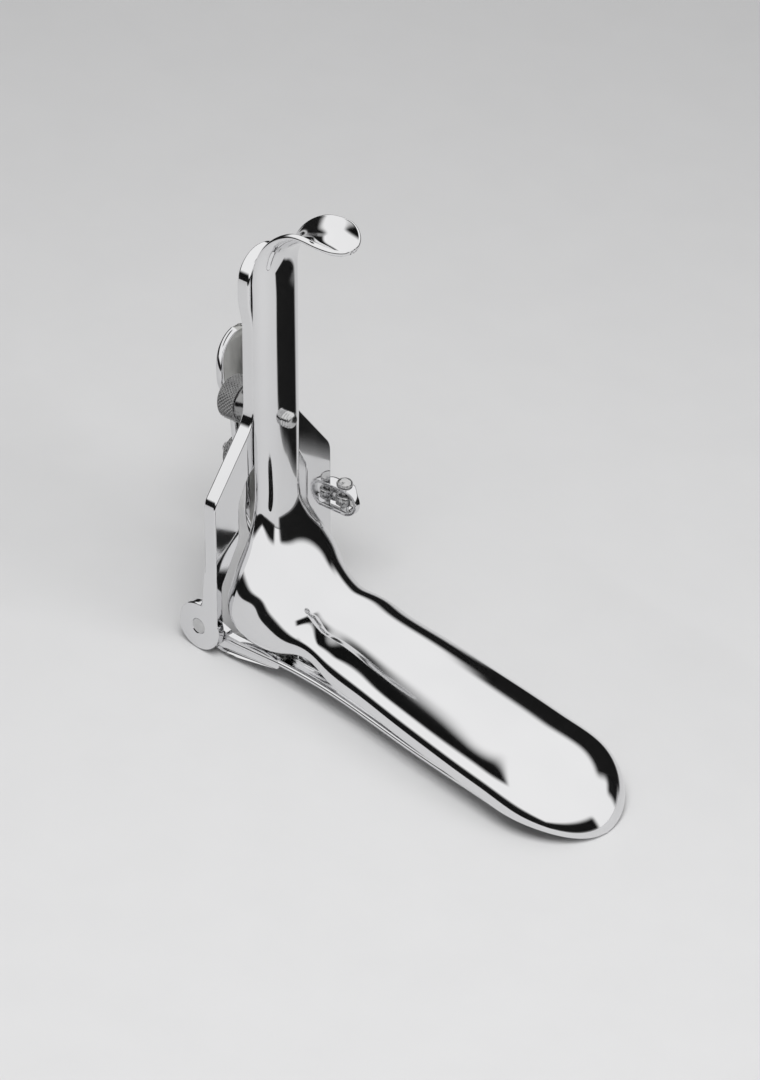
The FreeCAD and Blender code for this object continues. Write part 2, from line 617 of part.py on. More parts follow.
def swivel_pin():
    top = ROD_Z + STRAP_INSIDE / 2 + STRAP_THICK + SEAT_GAP
    low = ROD_Z - STRAP_INSIDE / 2 - STRAP_THICK - 0.1
    profile = [(low, PIN_RADIUS - 0.2), (low + 0.2, PIN_RADIUS), (top, PIN_RADIUS), (top, PIN_HEAD_RADIUS),
               (top + PIN_HEAD_THICK * 0.5, PIN_HEAD_RADIUS),
               (top + PIN_HEAD_THICK * 0.85, PIN_HEAD_RADIUS * 0.75),
               (top + PIN_HEAD_THICK, PIN_HEAD_RADIUS * 0.35)]
    return turned(profile, V(SWIVEL_X, ROD_Y, 0), AXIS_Z, AXIS_X)


def adjusting_rod():
    """Threaded rod with a flattened eye at its front end."""
    half = EYE_THICK / 2
    eye = cylinder(EYE_RADIUS, V(SWIVEL_X, ROD_Y, ROD_Z - half), V(SWIVEL_X, ROD_Y, ROD_Z + half))
    profile = [(ROD_END, ROD_RADIUS - 0.5), (ROD_END + 0.5, ROD_RADIUS),
               (SWIVEL_X - EYE_RADIUS - 0.6, ROD_RADIUS), (SWIVEL_X - PIN_RADIUS - 0.4, half - 0.05)]
    shank = turned(profile, V(0, ROD_Y, ROD_Z), AXIS_X, AXIS_Z)
    hole = cylinder(PIN_RADIUS + HINGE_GAP, V(SWIVEL_X, ROD_Y, 0), V(SWIVEL_X, ROD_Y, 40))
    return shank.fuse(eye).removeSplitter().cut(hole)


def adjusting_nut():
    """Knurled nut behind the lever, with a short smooth collar towards it."""
    rear = NUT_FRONT - NUT_LENGTH
    profile = [(NUT_FRONT, 2.9), (NUT_FRONT - 0.9, 3.2), (NUT_FRONT - 1.0, NUT_RADIUS - 0.5),
               (NUT_FRONT - 1.4, NUT_RADIUS), (rear + 0.5, NUT_RADIUS), (rear, NUT_RADIUS - 0.6)]
    body = turned(profile, V(0, ROD_Y, ROD_Z), AXIS_X, AXIS_Z)
    bore = cylinder(ROD_RADIUS + THREAD_GAP, V(rear - 1, ROD_Y, ROD_Z), V(NUT_FRONT + 1, ROD_Y, ROD_Z))
    return body.cut(bore)


def lowest_and_middle(shapes):
    """Centre of the whole object's box in X, and its lowest Z."""
    box = FreeCAD.BoundBox()
    for shape in shapes:
        for p in shape.tessellate(0.05)[0]:
            box.add(p)
    return V((box.XMin + box.XMax) / 2, (box.YMin + box.YMax) / 2, box.ZMin)


def main():
    single = EAR_THICK
    double = EAR_THICK + SEAT_GAP + LEVER_ROOT_THICK
    parts = {
        "posterior_blade": posterior_blade(),
        "clamp_block": clamp_block(),
        "yoke_frame": yoke_frame(),
        "hinge_screw_near": hinge_screw(-1, single),
        "hinge_screw_far": hinge_screw(1, double),
        "anterior_blade": anterior_blade(),
        "thumb_lever": thumb_lever(),
        "clamp_washer": clamp_washer(),
        "clamp_knob": clamp_knob(),
        "clamp_shank": clamp_shank(),
        "rod_bracket": rod_bracket(),
        "swivel_pin": swivel_pin(),
        "adjusting_rod": adjusting_rod(),
        "adjusting_nut": adjusting_nut(),
    }
    for shape in parts.values():
        shape.rotate(V(0, 0, 0), AXIS_Y, -HANDLE_LEAN)
    origin = lowest_and_middle(parts.values())
    for name, shape in parts.items():
        shape.translate(origin * -1)
        solid = shape.Solids[0] if len(shape.Solids) == 1 else shape
        solid.exportStep("parts/" + name + ".step")
        print(name, len(shape.Solids), shape.isValid(), round(shape.Volume, 1), shape.BoundBox)
    print("origin in the handle's frame, after the lean", origin)


main()
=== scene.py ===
import bmesh
import bpy
import json
import math
import numpy as np
from mathutils import Matrix, Vector
from mathutils.geometry import tessellate_polygon


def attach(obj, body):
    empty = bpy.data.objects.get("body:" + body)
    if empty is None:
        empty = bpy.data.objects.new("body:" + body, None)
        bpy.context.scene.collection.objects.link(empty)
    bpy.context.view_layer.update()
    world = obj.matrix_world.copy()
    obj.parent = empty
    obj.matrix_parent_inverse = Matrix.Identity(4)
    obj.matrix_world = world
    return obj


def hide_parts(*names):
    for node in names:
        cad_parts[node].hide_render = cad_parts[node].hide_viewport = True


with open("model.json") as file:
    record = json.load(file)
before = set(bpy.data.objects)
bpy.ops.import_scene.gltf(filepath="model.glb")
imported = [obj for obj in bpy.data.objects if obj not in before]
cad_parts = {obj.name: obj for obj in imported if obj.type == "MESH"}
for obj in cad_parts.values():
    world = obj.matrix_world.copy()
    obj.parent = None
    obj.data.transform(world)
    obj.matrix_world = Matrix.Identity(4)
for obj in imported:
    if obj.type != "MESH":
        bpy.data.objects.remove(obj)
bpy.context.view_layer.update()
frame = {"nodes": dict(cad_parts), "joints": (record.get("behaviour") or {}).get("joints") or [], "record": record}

MM = 0.001
WELD = 1e-7                      # metres, points closer than this become one
LEAN = math.radians(8.15)        # the handle leans back by this much
HINGE_X = -5.6                   # hinge axis in the handle's own frame, in mm

# The handle's own frame: X forward, Z up the handle, in mm. Its origin in the row's frame
# follows from the hinge, which is at (HINGE_X, 0, 0) there.
hinge = next(j for j in frame["joints"] if j["name"] == "blade_opening")
AHEAD = Vector((math.cos(LEAN), 0, math.sin(LEAN)))
UPWARD = Vector((-math.sin(LEAN), 0, math.cos(LEAN)))
ORIGIN = Vector(hinge["pos_m"]) - AHEAD * HINGE_X * MM


def place(x, y, z):
    """Row position, in metres, of a point of the handle's frame, in mm."""
    return ORIGIN + AHEAD * (x * MM) + Vector((0, y * MM, 0)) + UPWARD * (z * MM)


TURN_TO_ROW = Matrix(((AHEAD.x, 0, UPWARD.x), (0, 1, 0), (AHEAD.z, 0, UPWARD.z)))
TO_ROW = Matrix.Translation(ORIGIN) @ TURN_TO_ROW.to_4x4() @ Matrix.Scale(MM, 4)


# Materials

class Nodes:
    """Short way to write a node tree."""

    def __init__(self, name):
        self.material = bpy.data.materials.new(name)
        self.material.use_nodes = True
        self.tree = self.material.node_tree
        self.shader = self.tree.nodes["Principled BSDF"]

    def add(self, kind, **values):
        node = self.tree.nodes.new(kind)
        for key, value in values.items():
            if key in node.inputs:
                node.inputs[key].default_value = value
            else:
                setattr(node, key, value)
        return node

    def join(self, source, target):
        self.tree.links.new(source, target)

    def coordinates(self, stretch=(1, 1, 1), turn=(0, 0, 0)):
        where = self.add("ShaderNodeTexCoord")
        mapping = self.add("ShaderNodeMapping")
        mapping.inputs["Scale"].default_value = stretch
        mapping.inputs["Rotation"].default_value = turn
        self.join(where.outputs["Object"], mapping.inputs["Vector"])
        return mapping.outputs["Vector"]

    def noise(self, scale, detail=4.0, stretch=(1, 1, 1), turn=(0, 0, 0), roughness=0.55):
        node = self.add("ShaderNodeTexNoise", Scale=scale, Detail=detail, Roughness=roughness)
        self.join(self.coordinates(stretch, turn), node.inputs["Vector"])
        return node.outputs["Fac"]

    def ramp(self, source, low, high, start=0.0, end=1.0):
        node = self.add("ShaderNodeMapRange")
        node.inputs["From Min"].default_value = start
        node.inputs["From Max"].default_value = end
        node.inputs["To Min"].default_value = low
        node.inputs["To Max"].default_value = high
        self.join(source, node.inputs["Value"])
        return node.outputs["Result"]

    def tint(self, source, low, high, start=0.0, end=1.0):
        node = self.add("ShaderNodeValToRGB")
        node.color_ramp.elements[0].position = start
        node.color_ramp.elements[1].position = end
        node.color_ramp.elements[0].color = (*low, 1)
        node.color_ramp.elements[1].color = (*high, 1)
        self.join(source, node.inputs["Fac"])
        self.join(node.outputs["Color"], self.shader.inputs["Base Color"])

    def math(self, operation, first, second):
        node = self.add("ShaderNodeMath", operation=operation)
        for socket, value in zip(node.inputs, (first, second)):
            if isinstance(value, (int, float)):
                socket.default_value = value
            else:
                self.join(value, socket)
        return node.outputs["Value"]

    def bump(self, heights, strength=1.0):
        """Stack (source, distance in metres) bumps."""
        normal = None
        for source, distance in heights:
            node = self.add("ShaderNodeBump", Strength=strength, Distance=distance)
            self.join(source, node.inputs["Height"])
            if normal:
                self.join(normal, node.inputs["Normal"])
            normal = node.outputs["Normal"]
        self.join(normal, self.shader.inputs["Normal"])


def metal(name, roughness):
    nodes = Nodes(name)
    nodes.shader.inputs["Metallic"].default_value = 1.0
    nodes.shader.inputs["Roughness"].default_value = roughness
    return nodes


def grey(lightness):
    return (lightness,) * 3


def polished_steel(name, smudge=0.05):
    """Mirror-polished steel: faint smears, a hand-polished ripple and fine hairline scratches."""
    steel = metal(name, 0.05)
    smears = steel.noise(55, 5, stretch=(1, 1.6, 0.8))
    cloud = steel.noise(18, 3)
    steel.tint(cloud, (0.74, 0.74, 0.75), (0.82, 0.82, 0.825), 0.3, 0.7)
    hairs = steel.noise(2600, 2, stretch=(0.05, 1, 1), turn=(0, 0, 0.35))
    hairs_across = steel.noise(2100, 2, stretch=(1, 0.04, 1), turn=(0.3, 0, 0.9))
    smeared = steel.ramp(smears, 0.03, 0.03 + smudge, 0.42, 0.75)
    scratched = steel.ramp(hairs, 0.0, 0.03, 0.62, 0.78)
    steel.join(steel.math("ADD", smeared, scratched), steel.shader.inputs["Roughness"])
    ripple = steel.noise(45, 1)
    steel.bump([(ripple, 0.00001), (hairs, 0.00000012), (hairs_across, 0.00000008)])
    return steel.material


def brushed_steel(name):
    """Satin steel: long fine grinding lines with uneven patches."""
    steel = metal(name, 0.3)
    lines = steel.noise(1500, 3, stretch=(1, 1, 0.03), turn=(0.5, 0, 0))
    patches = steel.noise(140, 4, stretch=(1, 1, 0.5))
    steel.tint(patches, (0.30, 0.30, 0.29), (0.62, 0.62, 0.60), 0.3, 0.75)
    uneven = steel.ramp(patches, 0.26, 0.42, 0.3, 0.7)
    ground = steel.ramp(lines, 0.0, 0.12, 0.4, 0.7)
    steel.join(steel.math("ADD", uneven, ground), steel.shader.inputs["Roughness"])
    steel.bump([(lines, 0.000012), (patches, 0.00001)])
    return steel.material


def turned_steel(name, lightness=0.62, dull=0.12):
    """Lathe-turned steel: slightly duller than the polished sheet."""
    steel = metal(name, 0.2)
    patches = steel.noise(260, 4)
    steel.tint(patches, grey(lightness * 0.8), grey(lightness * 1.1), 0.3, 0.7)
    steel.join(steel.ramp(patches, dull, dull + 0.18, 0.3, 0.7), steel.shader.inputs["Roughness"])
    tool_marks = steel.noise(1800, 2)
    steel.bump([(tool_marks, 0.000004)])
    return steel.material


def floor_material():
    floor = Nodes("pale_floor")
    floor.shader.inputs["Roughness"].default_value = 0.7
    grain = floor.noise(60, 4)
    floor.tint(grain, (0.618, 0.618, 0.622), (0.63, 0.63, 0.634), 0.3, 0.7)
    return floor.material


MIRROR = polished_steel("mirror_sheet")
FRAME_STEEL = polished_steel("mirror_frame", 0.09)
SATIN = brushed_steel("satin_face")
RIM = polished_steel("polished_rim", 0.08)
TURNED = turned_steel("turned_steel")
KNURLED = turned_steel("knurled_steel", 0.34, 0.08)

NODE_MATERIALS = {
    "mirror_sheet": MIRROR, "mirror_frame": FRAME_STEEL, "satin_lever": SATIN,
    "turned_steel": TURNED, "knurled_steel": KNURLED}


def dress_cad_nodes():
    slots = {part["node"]: part["material_slot"] for part in frame["record"]["subparts"]}
    for name, obj in frame["nodes"].items():
        obj.data.materials.clear()
        obj.data.materials.append(NODE_MATERIALS[slots[name]])


def object_from(name, vertices, faces, materials, indices=None):
    """Smooth-shaded object from points in the handle's frame; indices gives each face's material."""
    mesh = bpy.data.meshes.new(name)
    mesh.from_pydata([tuple(v) for v in vertices], [], faces)
    for material in materials:
        mesh.materials.append(material)
    if indices:
        mesh.polygons.foreach_set("material_index", indices)
    mesh.transform(TO_ROW)
    mesh.polygons.foreach_set("use_smooth", [True] * len(mesh.polygons))
    obj = bpy.data.objects.new(name, mesh)
    bpy.context.scene.collection.objects.link(obj)
    bm = bmesh.new()
    bm.from_mesh(mesh)
    bmesh.ops.remove_doubles(bm, verts=bm.verts, dist=WELD)
    bmesh.ops.recalc_face_normals(bm, faces=bm.faces)
    bm.to_mesh(mesh)
    bm.free()
    return obj


# Smooth sheets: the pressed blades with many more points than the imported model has

SHEET, LOWER_SHEET = 1.4, 1.3
HANDLE_HALF_WIDTH, HANDLE_DEPTH, HANDLE_SQUARENESS = 6.8, 3.7, 2.6
RUN_GAP = 0.2
FRONT = HANDLE_DEPTH + RUN_GAP   # front of the handle's channel
CURL_START, CURL_RADIUS, CURL_TURN = 85.0, 12.5, 84.0
LOBE_LENGTH, LOBE_HALF_WIDTH, LOBE_RIM = 9.0, 7.3, 1.3
NECK_START, NECK_RADIUS, BLADE_DROOP = 27.0, 20.0, 11.5
BLADE_HALF_WIDTH, TIP_HALF_WIDTH, BLADE_ARCH, TIP_ARCH = 14.2, 17.2, 8.2, 9.0
TIP_START, TIP_REACH, TIP_DROP = 81.0, 17.2, 3.2
FLARE_HALF_WIDTH, NECK_STEPS = 16.6, 12
LOWER_HALF_WIDTH, LOWER_REAR_HALF_WIDTH = 15.2, 16.85
LOWER_TIP_START, LOWER_TIP_REACH = 75.0, 15.0
LOWER_TIP_RIM, LOWER_TIP_DEPTH, LOWER_TIP_SLOPE = -14.9, 2.45, 0.2
DISH_POWER = 2.4
SECTION_STEPS, SECTION_SAMPLES = 160, 4001
EDGE = 0.45                      # how far a rim's rounding reaches
RIM_POINTS = 7                   # points of a rim's rounding
SHEET_ACROSS = 84                # quads across a pressed sheet
UPPER_ROWS, LOWER_ROWS = 520, 380
LEAST_SHARE = 0.02               # of a row's width that stays at a trimmed end


def blend_table(table, s):
    """Smooth value of a small table [(s, value, ...)] at s, as in the part's source."""
    for i in range(len(table) - 2, -1, -1):
        if s >= table[i][0] or i == 0:
            break
    t = min(1.0, max(0.0, (s - table[i][0]) / (table[i + 1][0] - table[i][0])))
    before, after = table[max(0, i - 1)], table[min(len(table) - 1, i + 2)]
    low, high = table[i], table[i + 1]
    span = high[0] - low[0]
    values = []
    for k in range(1, len(low)):
        slope_low = (high[k] - before[k]) / (high[0] - before[0])
        slope_high = (after[k] - low[k]) / (after[0] - low[0])
        values.append((2 * t ** 3 - 3 * t ** 2 + 1) * low[k] + (t ** 3 - 2 * t ** 2 + t) * span * slope_low
                      + (3 * t ** 2 - 2 * t ** 3) * high[k] + (t ** 3 - t ** 2) * span * slope_high)
    return values


def section(half_width, depth, squareness, dish):
    """Section points (side, rise), evenly spaced: half a super-ellipse, or a bowl where dish is 1."""
    a = np.radians(np.linspace(-90, 90, SECTION_SAMPLES))
    t = np.abs(np.sin(a)) ** (2 / squareness)
    steep = np.maximum(0.0, np.cos(a)) ** (2 / squareness)
    side = half_width * np.copysign(t, a)
    rise = depth * (steep + (1 - t ** DISH_POWER - steep) * dish)
    run = np.concatenate([[0], np.cumsum(np.hypot(np.diff(side), np.diff(rise)))])
    wanted = np.linspace(0, run[-1], SECTION_STEPS + 1)
    return np.interp(wanted, run, side), np.interp(wanted, run, rise)


def sheet_row(ridge, rim, half_width, squareness, dish=0.0):
    """One section of a sheet, from its (x, z) at the ridge and at the rims."""
    up = np.array([ridge[0] - rim[0], 0, ridge[1] - rim[1]])
    depth = np.linalg.norm(up)
    side, rise = section(half_width, depth, squareness, dish)
    return np.array([rim[0], 0, rim[1]]) + np.outer(side, (0, 1, 0)) + np.outer(rise, up / depth)


def curl_end():
    a = math.radians(CURL_TURN)
    return FRONT + CURL_RADIUS * (1 - math.cos(a)), CURL_START + CURL_RADIUS * math.sin(a)


def lobe_rows():
    rows = []
    x0, z0 = curl_end()
    for run in (LOBE_LENGTH + 1, LOBE_LENGTH - 1.5, LOBE_LENGTH - 4, LOBE_LENGTH - 6.5):
        z = z0 + 0.6 - 0.9 * (run / LOBE_LENGTH) ** 2
        rows.append(sheet_row((x0 + run, z), (x0 + run, z + LOBE_RIM + 0.7), LOBE_HALF_WIDTH, 2.4, 1.0))
    curl = [(0.0, HANDLE_DEPTH, HANDLE_HALF_WIDTH, HANDLE_SQUARENESS, 0.0),
            (0.5, 3.4, HANDLE_HALF_WIDTH, HANDLE_SQUARENESS - 0.2, 0.25),
            (1.0, 3.1, LOBE_HALF_WIDTH - 0.2, 2.5, 0.9)]
    for s in (7 / 8, 6 / 8, 5 / 8, 4 / 8, 3 / 8, 2 / 8, 1 / 8, 0):
        a = math.radians(CURL_TURN * s)
        depth, half_width, squareness, dish = blend_table(curl, s)
        ridge = (FRONT + CURL_RADIUS * (1 - math.cos(a)), CURL_START + CURL_RADIUS * math.sin(a))
        rim = (ridge[0] - math.cos(a) * depth, ridge[1] + math.sin(a) * depth)
        rows.append(sheet_row(ridge, rim, half_width, squareness, dish))
    return rows


def handle_rows():
    rows = []
    for s in (0.05, 0.2, 0.4, 0.6, 0.8, 0.95):
        z = CURL_START + (NECK_START - CURL_START) * s
        rows.append(sheet_row((FRONT, z), (RUN_GAP, z), HANDLE_HALF_WIDTH, HANDLE_SQUARENESS))
    return rows


def neck_ridge(share):
    """Ridge of the neck's bend, at a share of its whole turn."""
    a = math.radians((90 - BLADE_DROOP) * share)
    return FRONT + NECK_RADIUS * (1 - math.cos(a)), NECK_START - NECK_RADIUS * math.sin(a)


def neck_rows():
    lip, end, wide = RUN_GAP, neck_ridge(1.0), FLARE_HALF_WIDTH
    flare = [(0.0, lip, NECK_START, HANDLE_HALF_WIDTH, HANDLE_SQUARENESS), (0.2, lip, 20.5, 0.57 * wide, 3.0),
             (0.4, lip, 12.6, 0.87 * wide, 2.8), (0.55, lip + 0.4, 6.0, wide, 2.7),
             (0.68, 3.2, 0.6, 0.975 * wide, 2.6), (0.8, 8.0, -1.9, 0.92 * wide, 2.5),
             (0.9, 13.2, -2.0, BLADE_HALF_WIDTH + 0.3, 2.4),
             (1.0, end[0] - 1.6, end[1] - BLADE_ARCH + 0.2, BLADE_HALF_WIDTH, 2.35)]
    rows = []
    for step in range(1, NECK_STEPS + 1):
        share = step / NECK_STEPS
        rim_x, rim_z, half_width, squareness = blend_table(flare, share)
        rows.append(sheet_row(neck_ridge(share), (rim_x, rim_z), half_width, squareness))
    return rows


def blade_line(x):
    """Ridge height, arch and half width of the fixed blade at x."""
    x0, z0 = neck_ridge(1.0)
    s = (x - x0) / (TIP_START - x0)
    ridge = z0 - (x - x0) * math.tan(math.radians(BLADE_DROOP))
    half_width = BLADE_HALF_WIDTH + (TIP_HALF_WIDTH - BLADE_HALF_WIDTH) * math.sin(math.pi / 2 * min(s, 1.0))
    return ridge, BLADE_ARCH + (TIP_ARCH - BLADE_ARCH) * s, half_width


def blade_rows():
    rows = []
    x0 = neck_ridge(1.0)[0]
    for s in (0.14, 0.3, 0.46, 0.62, 0.78, 0.9):
        x = x0 + (TIP_START - x0) * s
        ridge, arch, half_width = blade_line(x)
        rows.append(sheet_row((x, ridge), (x, ridge - arch), half_width, 2.3))
    ridge, arch, _ = blade_line(TIP_START)
    for turn in (3, 14, 26, 38, 50, 61, 70, 78, 84.5, 88.7):
        a = math.radians(turn)
        x = TIP_START + TIP_REACH * math.sin(a)
        fall = (x - TIP_START) * math.tan(math.radians(BLADE_DROOP)) + TIP_DROP * math.sin(a) ** 3
        rim = ridge - arch - fall
        rows.append(sheet_row((x, rim + arch * math.cos(a)), (x, rim), TIP_HALF_WIDTH * math.cos(a),
                              2.3 - 0.25 * math.sin(a)))
    return rows


def lower_rows():
    rear = [(-1.5, -3.0, -6.45, LOWER_REAR_HALF_WIDTH), (3.0, -3.2, -7.2, LOWER_REAR_HALF_WIDTH - 0.1),
            (9.0, -3.6, -8.0, 16.2), (18.0, -4.3, -9.4, 15.4), (32.0, -6.1, -11.3, LOWER_HALF_WIDTH),
            (55.0, -11.0, -14.6, LOWER_HALF_WIDTH + 0.2),
            (LOWER_TIP_START, LOWER_TIP_RIM, LOWER_TIP_RIM - LOWER_TIP_DEPTH, LOWER_HALF_WIDTH)]
    rows = []
    for x in (-1.5, 1, 3.5, 6.5, 10, 14, 19, 25, 32, 41, 50, 59, 67, 73):
        rim, keel, half_width = blend_table(rear, x)
        rows.append(sheet_row((x, keel), (x, rim), half_width, 2.4, 1.0))
    for run in (4, 8, 11.5, LOWER_TIP_REACH + 1):
        rim = LOWER_TIP_RIM - LOWER_TIP_SLOPE * run
        depth = LOWER_TIP_DEPTH * (1 - 0.8 * (run / (LOWER_TIP_REACH + 1)) ** 2)
        rows.append(sheet_row((LOWER_TIP_START + run, rim - depth), (LOWER_TIP_START + run, rim),
                              LOWER_HALF_WIDTH, 2.4, 1.0))
    return [row[::-1] for row in rows]


def spline(points, knots, wanted):
    """Cubic spline with natural ends through points[i] at knots[i]."""
    n = len(knots)
    h = np.diff(knots)
    system, right = np.eye(n), np.zeros_like(points)
    for i in range(1, n - 1):
        system[i, i - 1:i + 2] = h[i - 1], 2 * (h[i - 1] + h[i]), h[i]
        right[i] = 6 * ((points[i + 1] - points[i]) / h[i] - (points[i] - points[i - 1]) / h[i - 1])
    bend = np.linalg.solve(system, right.reshape(n, -1)).reshape(points.shape)
    k = np.clip(np.searchsorted(knots, wanted) - 1, 0, n - 2)
    shape = (-1,) + (1,) * (points.ndim - 1)
    step = h[k].reshape(shape)
    a = (knots[k + 1] - wanted).reshape(shape) / step
    b = 1 - a
    return (a * points[k] + b * points[k + 1]
            + ((a ** 3 - a) * bend[k] + (b ** 3 - b) * bend[k + 1]) * step ** 2 / 6)


def unit(vectors):
    return vectors / np.maximum(np.linalg.norm(vectors, axis=-1, keepdims=True), 1e-12)


def run_along(points):
    """Length of a line of points up to each of them."""
    return np.concatenate([[0], np.cumsum(np.linalg.norm(np.diff(points, axis=0), axis=1))])


def smooth_sheet(name, rows, thickness, material, count, share):
    """Closed mesh of a pressed sheet with rounded rims, through rows of section points.

    share(point) says how much of a row is kept, from 1 down to 0 at a trimmed round end."""
    rows = np.array(rows)
    knots = run_along(rows[:, rows.shape[1] // 2])
    fine = spline(rows, knots, np.linspace(0, knots[-1], count))
    fine = fine[[share(points[len(points) // 2]) > 0 for points in fine]]
    normal = unit(np.cross(np.gradient(fine, axis=0), np.gradient(fine, axis=1)))
    front, facing = [], []
    for points, normals in zip(fine, normal):
        run = run_along(points)
        half = run[-1] / 2
        kept = max(LEAST_SHARE, share(points[len(points) // 2]) - EDGE / max(half, EDGE))
        wanted = half + half * kept * np.linspace(-1, 1, SHEET_ACROSS + 1)
        front.append(np.stack([np.interp(wanted, run, points[:, k]) for k in range(3)], 1))
        facing.append(unit(np.stack([np.interp(wanted, run, normals[:, k]) for k in range(3)], 1)))
    front, facing = np.array(front), np.array(facing)
    return closed_sheet(name, front, facing, front - facing * thickness, [material])


def closed_sheet(name, front, facing, back, materials, band=0):
    """Closed mesh between two skins, with rounded rims.

    Where band is given, that many quads beside each rim, and the rim, get the second material."""
    along = unit(np.gradient(front, axis=0))
    turns = np.radians(np.linspace(0, 180, RIM_POINTS + 2))[1:-1]
    loops = []
    for i in range(len(front)):
        rims = []
        for end in (-1, 0):
            out = unit(np.cross(along[i, end], facing[i, end])) * EDGE
            if np.dot(out, front[i, end] - front[i, len(front[i]) // 2]) < 0:
                out = -out
            core = (front[i, end] + back[i, end]) / 2
            half = (front[i, end] - back[i, end]) / 2
            rims.append([core + half * math.cos(t) + out * math.sin(t) for t in turns])
        loops.append(np.concatenate([front[i], rims[0], back[i][::-1], rims[1][::-1]]))
    size = len(loops[0])
    faces = rings_joined(len(loops), size)
    across = len(front[0])
    inner = [not band or band <= k % (across + RIM_POINTS) < across - 1 - band for k in range(size)]
    indices = [0 if inner[k] else 1 for _ in range(len(loops) - 1) for k in range(size)] + [0, 0]
    return object_from(name, np.concatenate(loops), faces, materials, indices)


def rings_joined(count, size, caps=True):
    """Faces between count rings of size points each, and a cap at either end."""
    faces = [(i * size + k, i * size + (k + 1) % size, (i + 1) * size + (k + 1) % size, (i + 1) * size + k)
             for i in range(count - 1) for k in range(size)]
    if caps:
        faces += [[ring * size + k for k in range(size)] for ring in (0, count - 1)]
    return faces


def round_share(start, reach):
    """Share of the width kept beyond start, where a sheet is trimmed to half an ellipse."""
    def share(point):
        t = (point[0] - start) / (reach - EDGE)
        return 1.0 if t <= 0 else math.sqrt(max(0.0, 1 - t * t))
    return share


def upper_blade():
    """Fixed blade, neck, handle and finger hook in one sheet, trimmed round at the hook's lobe."""
    lobe = round_share(curl_end()[0] + LOBE_LENGTH - LOBE_HALF_WIDTH, LOBE_HALF_WIDTH)

    def share(point):
        return lobe(point) if point[2] > CURL_START else 1.0
    rows = lobe_rows() + handle_rows() + neck_rows() + blade_rows()
    obj = smooth_sheet("fixed_blade_sheet", rows, SHEET, MIRROR, UPPER_ROWS, share)
    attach(obj, "handle")
    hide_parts("posterior_blade")


# The hinged blade and its ears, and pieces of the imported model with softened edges

EAR_RADIUS, EAR_THICK, EAR_INSIDE = 5.0, 1.6, 15.5
EAR_FRONT = 14.0                 # where an ear ends under the blade's rim
EAR_STEP, EAR_ROUNDING = 0.8, 0.35
EAR_BEND, EAR_BEND_START, EAR_BEND_POWER = 0.085, 1.0, 1.18
TURN_STEPS = 6                   # pieces of a rounded corner of an outline
SHARP_ANGLE, FLAT_ANGLE = 32, 0.6    # degrees
BORE_RIM = 2.6                   # radius round the hinge's axis, just outside its bore
FILLET_END_X, FILLET_END_Z, FILLET_END_REACH = -2.2, 16, 1.7


def arc_through(corners):
    """Points along (a, b, radius) corners with rounded turns; the first and last stay sharp."""
    points = [corners[0][:2]]
    for before, corner, after in zip(corners, corners[1:], corners[2:]):
        p, q, r = (Vector(c[:2]) for c in (before, corner, after))
        to_p, to_r = (p - q).normalized(), (r - q).normalized()
        half = to_p.angle(to_r) / 2
        back = corner[2] / math.tan(half)
        centre = q + (to_p + to_r).normalized() * (corner[2] / math.sin(half))
        start, end = q + to_p * back - centre, q + to_r * back - centre
        for k in range(TURN_STEPS + 1):
            points.append(tuple(centre + start.slerp(end, k / TURN_STEPS, start)))
    return points + [corners[-1][:2]]


def plate(name, outline, start, thick, material, rounding, bend):
    """Plate drawn on XZ, from y = start over thick, with rounded edges; bend(x) shifts it sideways."""
    count = len(outline)
    vertices = [(a, y + bend(a), b) for y in (start, start + thick) for a, b in outline]
    flats = [tuple(t) for t in tessellate_polygon([[Vector((a, b, 0)) for a, b in outline]])]
    faces = flats + [tuple(count + k for k in reversed(t)) for t in flats]
    faces += [(k, count + k, count + (k + 1) % count, (k + 1) % count) for k in range(count)]
    obj = object_from(name, vertices, faces, [material])
    round_edges(obj.data, rounding * MM, 4, 30)
    return obj


def ear(side):
    """Ear at the rear corner of the hinged blade, with its outline as in the part's source."""
    outline = []
    for degrees in range(95, 271, 5):
        a = math.radians(degrees)
        outline.append((HINGE_X + EAR_RADIUS * math.cos(a), EAR_RADIUS * math.sin(a)))
    outline += arc_through([(HINGE_X, -EAR_RADIUS, 0.2), (1.0, -6.0, 1.0), (EAR_FRONT, -4.5, 0.1),
                            (EAR_FRONT, -4.0, 0.1), (-0.4, -2.8, 3.0), (-2.2, 1.6, 2.0),
                            (HINGE_X + 1.5, 4.7, 0.3)])
    fine = []
    for p, q in zip(outline, outline[1:] + outline[:1]):
        count = max(1, round(math.dist(p, q) / EAR_STEP))
        fine += [(p[0] + (q[0] - p[0]) * k / count, p[1] + (q[1] - p[1]) * k / count) for k in range(count)]

    def inward(x):
        return -side * EAR_BEND * max(0.0, x - EAR_BEND_START) ** EAR_BEND_POWER
    name = "ear_far" if side > 0 else "ear_near"
    obj = plate(name, fine, side * EAR_INSIDE, side * EAR_THICK, MIRROR, EAR_ROUNDING, inward)
    keep_flats(obj)
    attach(obj, "lower_blade")


def lower_blade():
    share = round_share(LOWER_TIP_START, LOWER_TIP_REACH)
    obj = smooth_sheet("hinged_blade_sheet", lower_rows(), LOWER_SHEET, MIRROR, LOWER_ROWS, share)
    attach(obj, "lower_blade")
    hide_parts("anterior_blade")
    for side in (-1, 1):
        ear(side)


def left_sharp(point):
    """Is this point on the rim of the hinge's bore, or where the frame's rear rounding runs out?"""
    local = point - ORIGIN
    x, z = local.dot(AHEAD) / MM, local.dot(UPWARD) / MM
    return (math.hypot(x - HINGE_X, z) < BORE_RIM
            or (x < FILLET_END_X and abs(z - FILLET_END_Z) < FILLET_END_REACH))


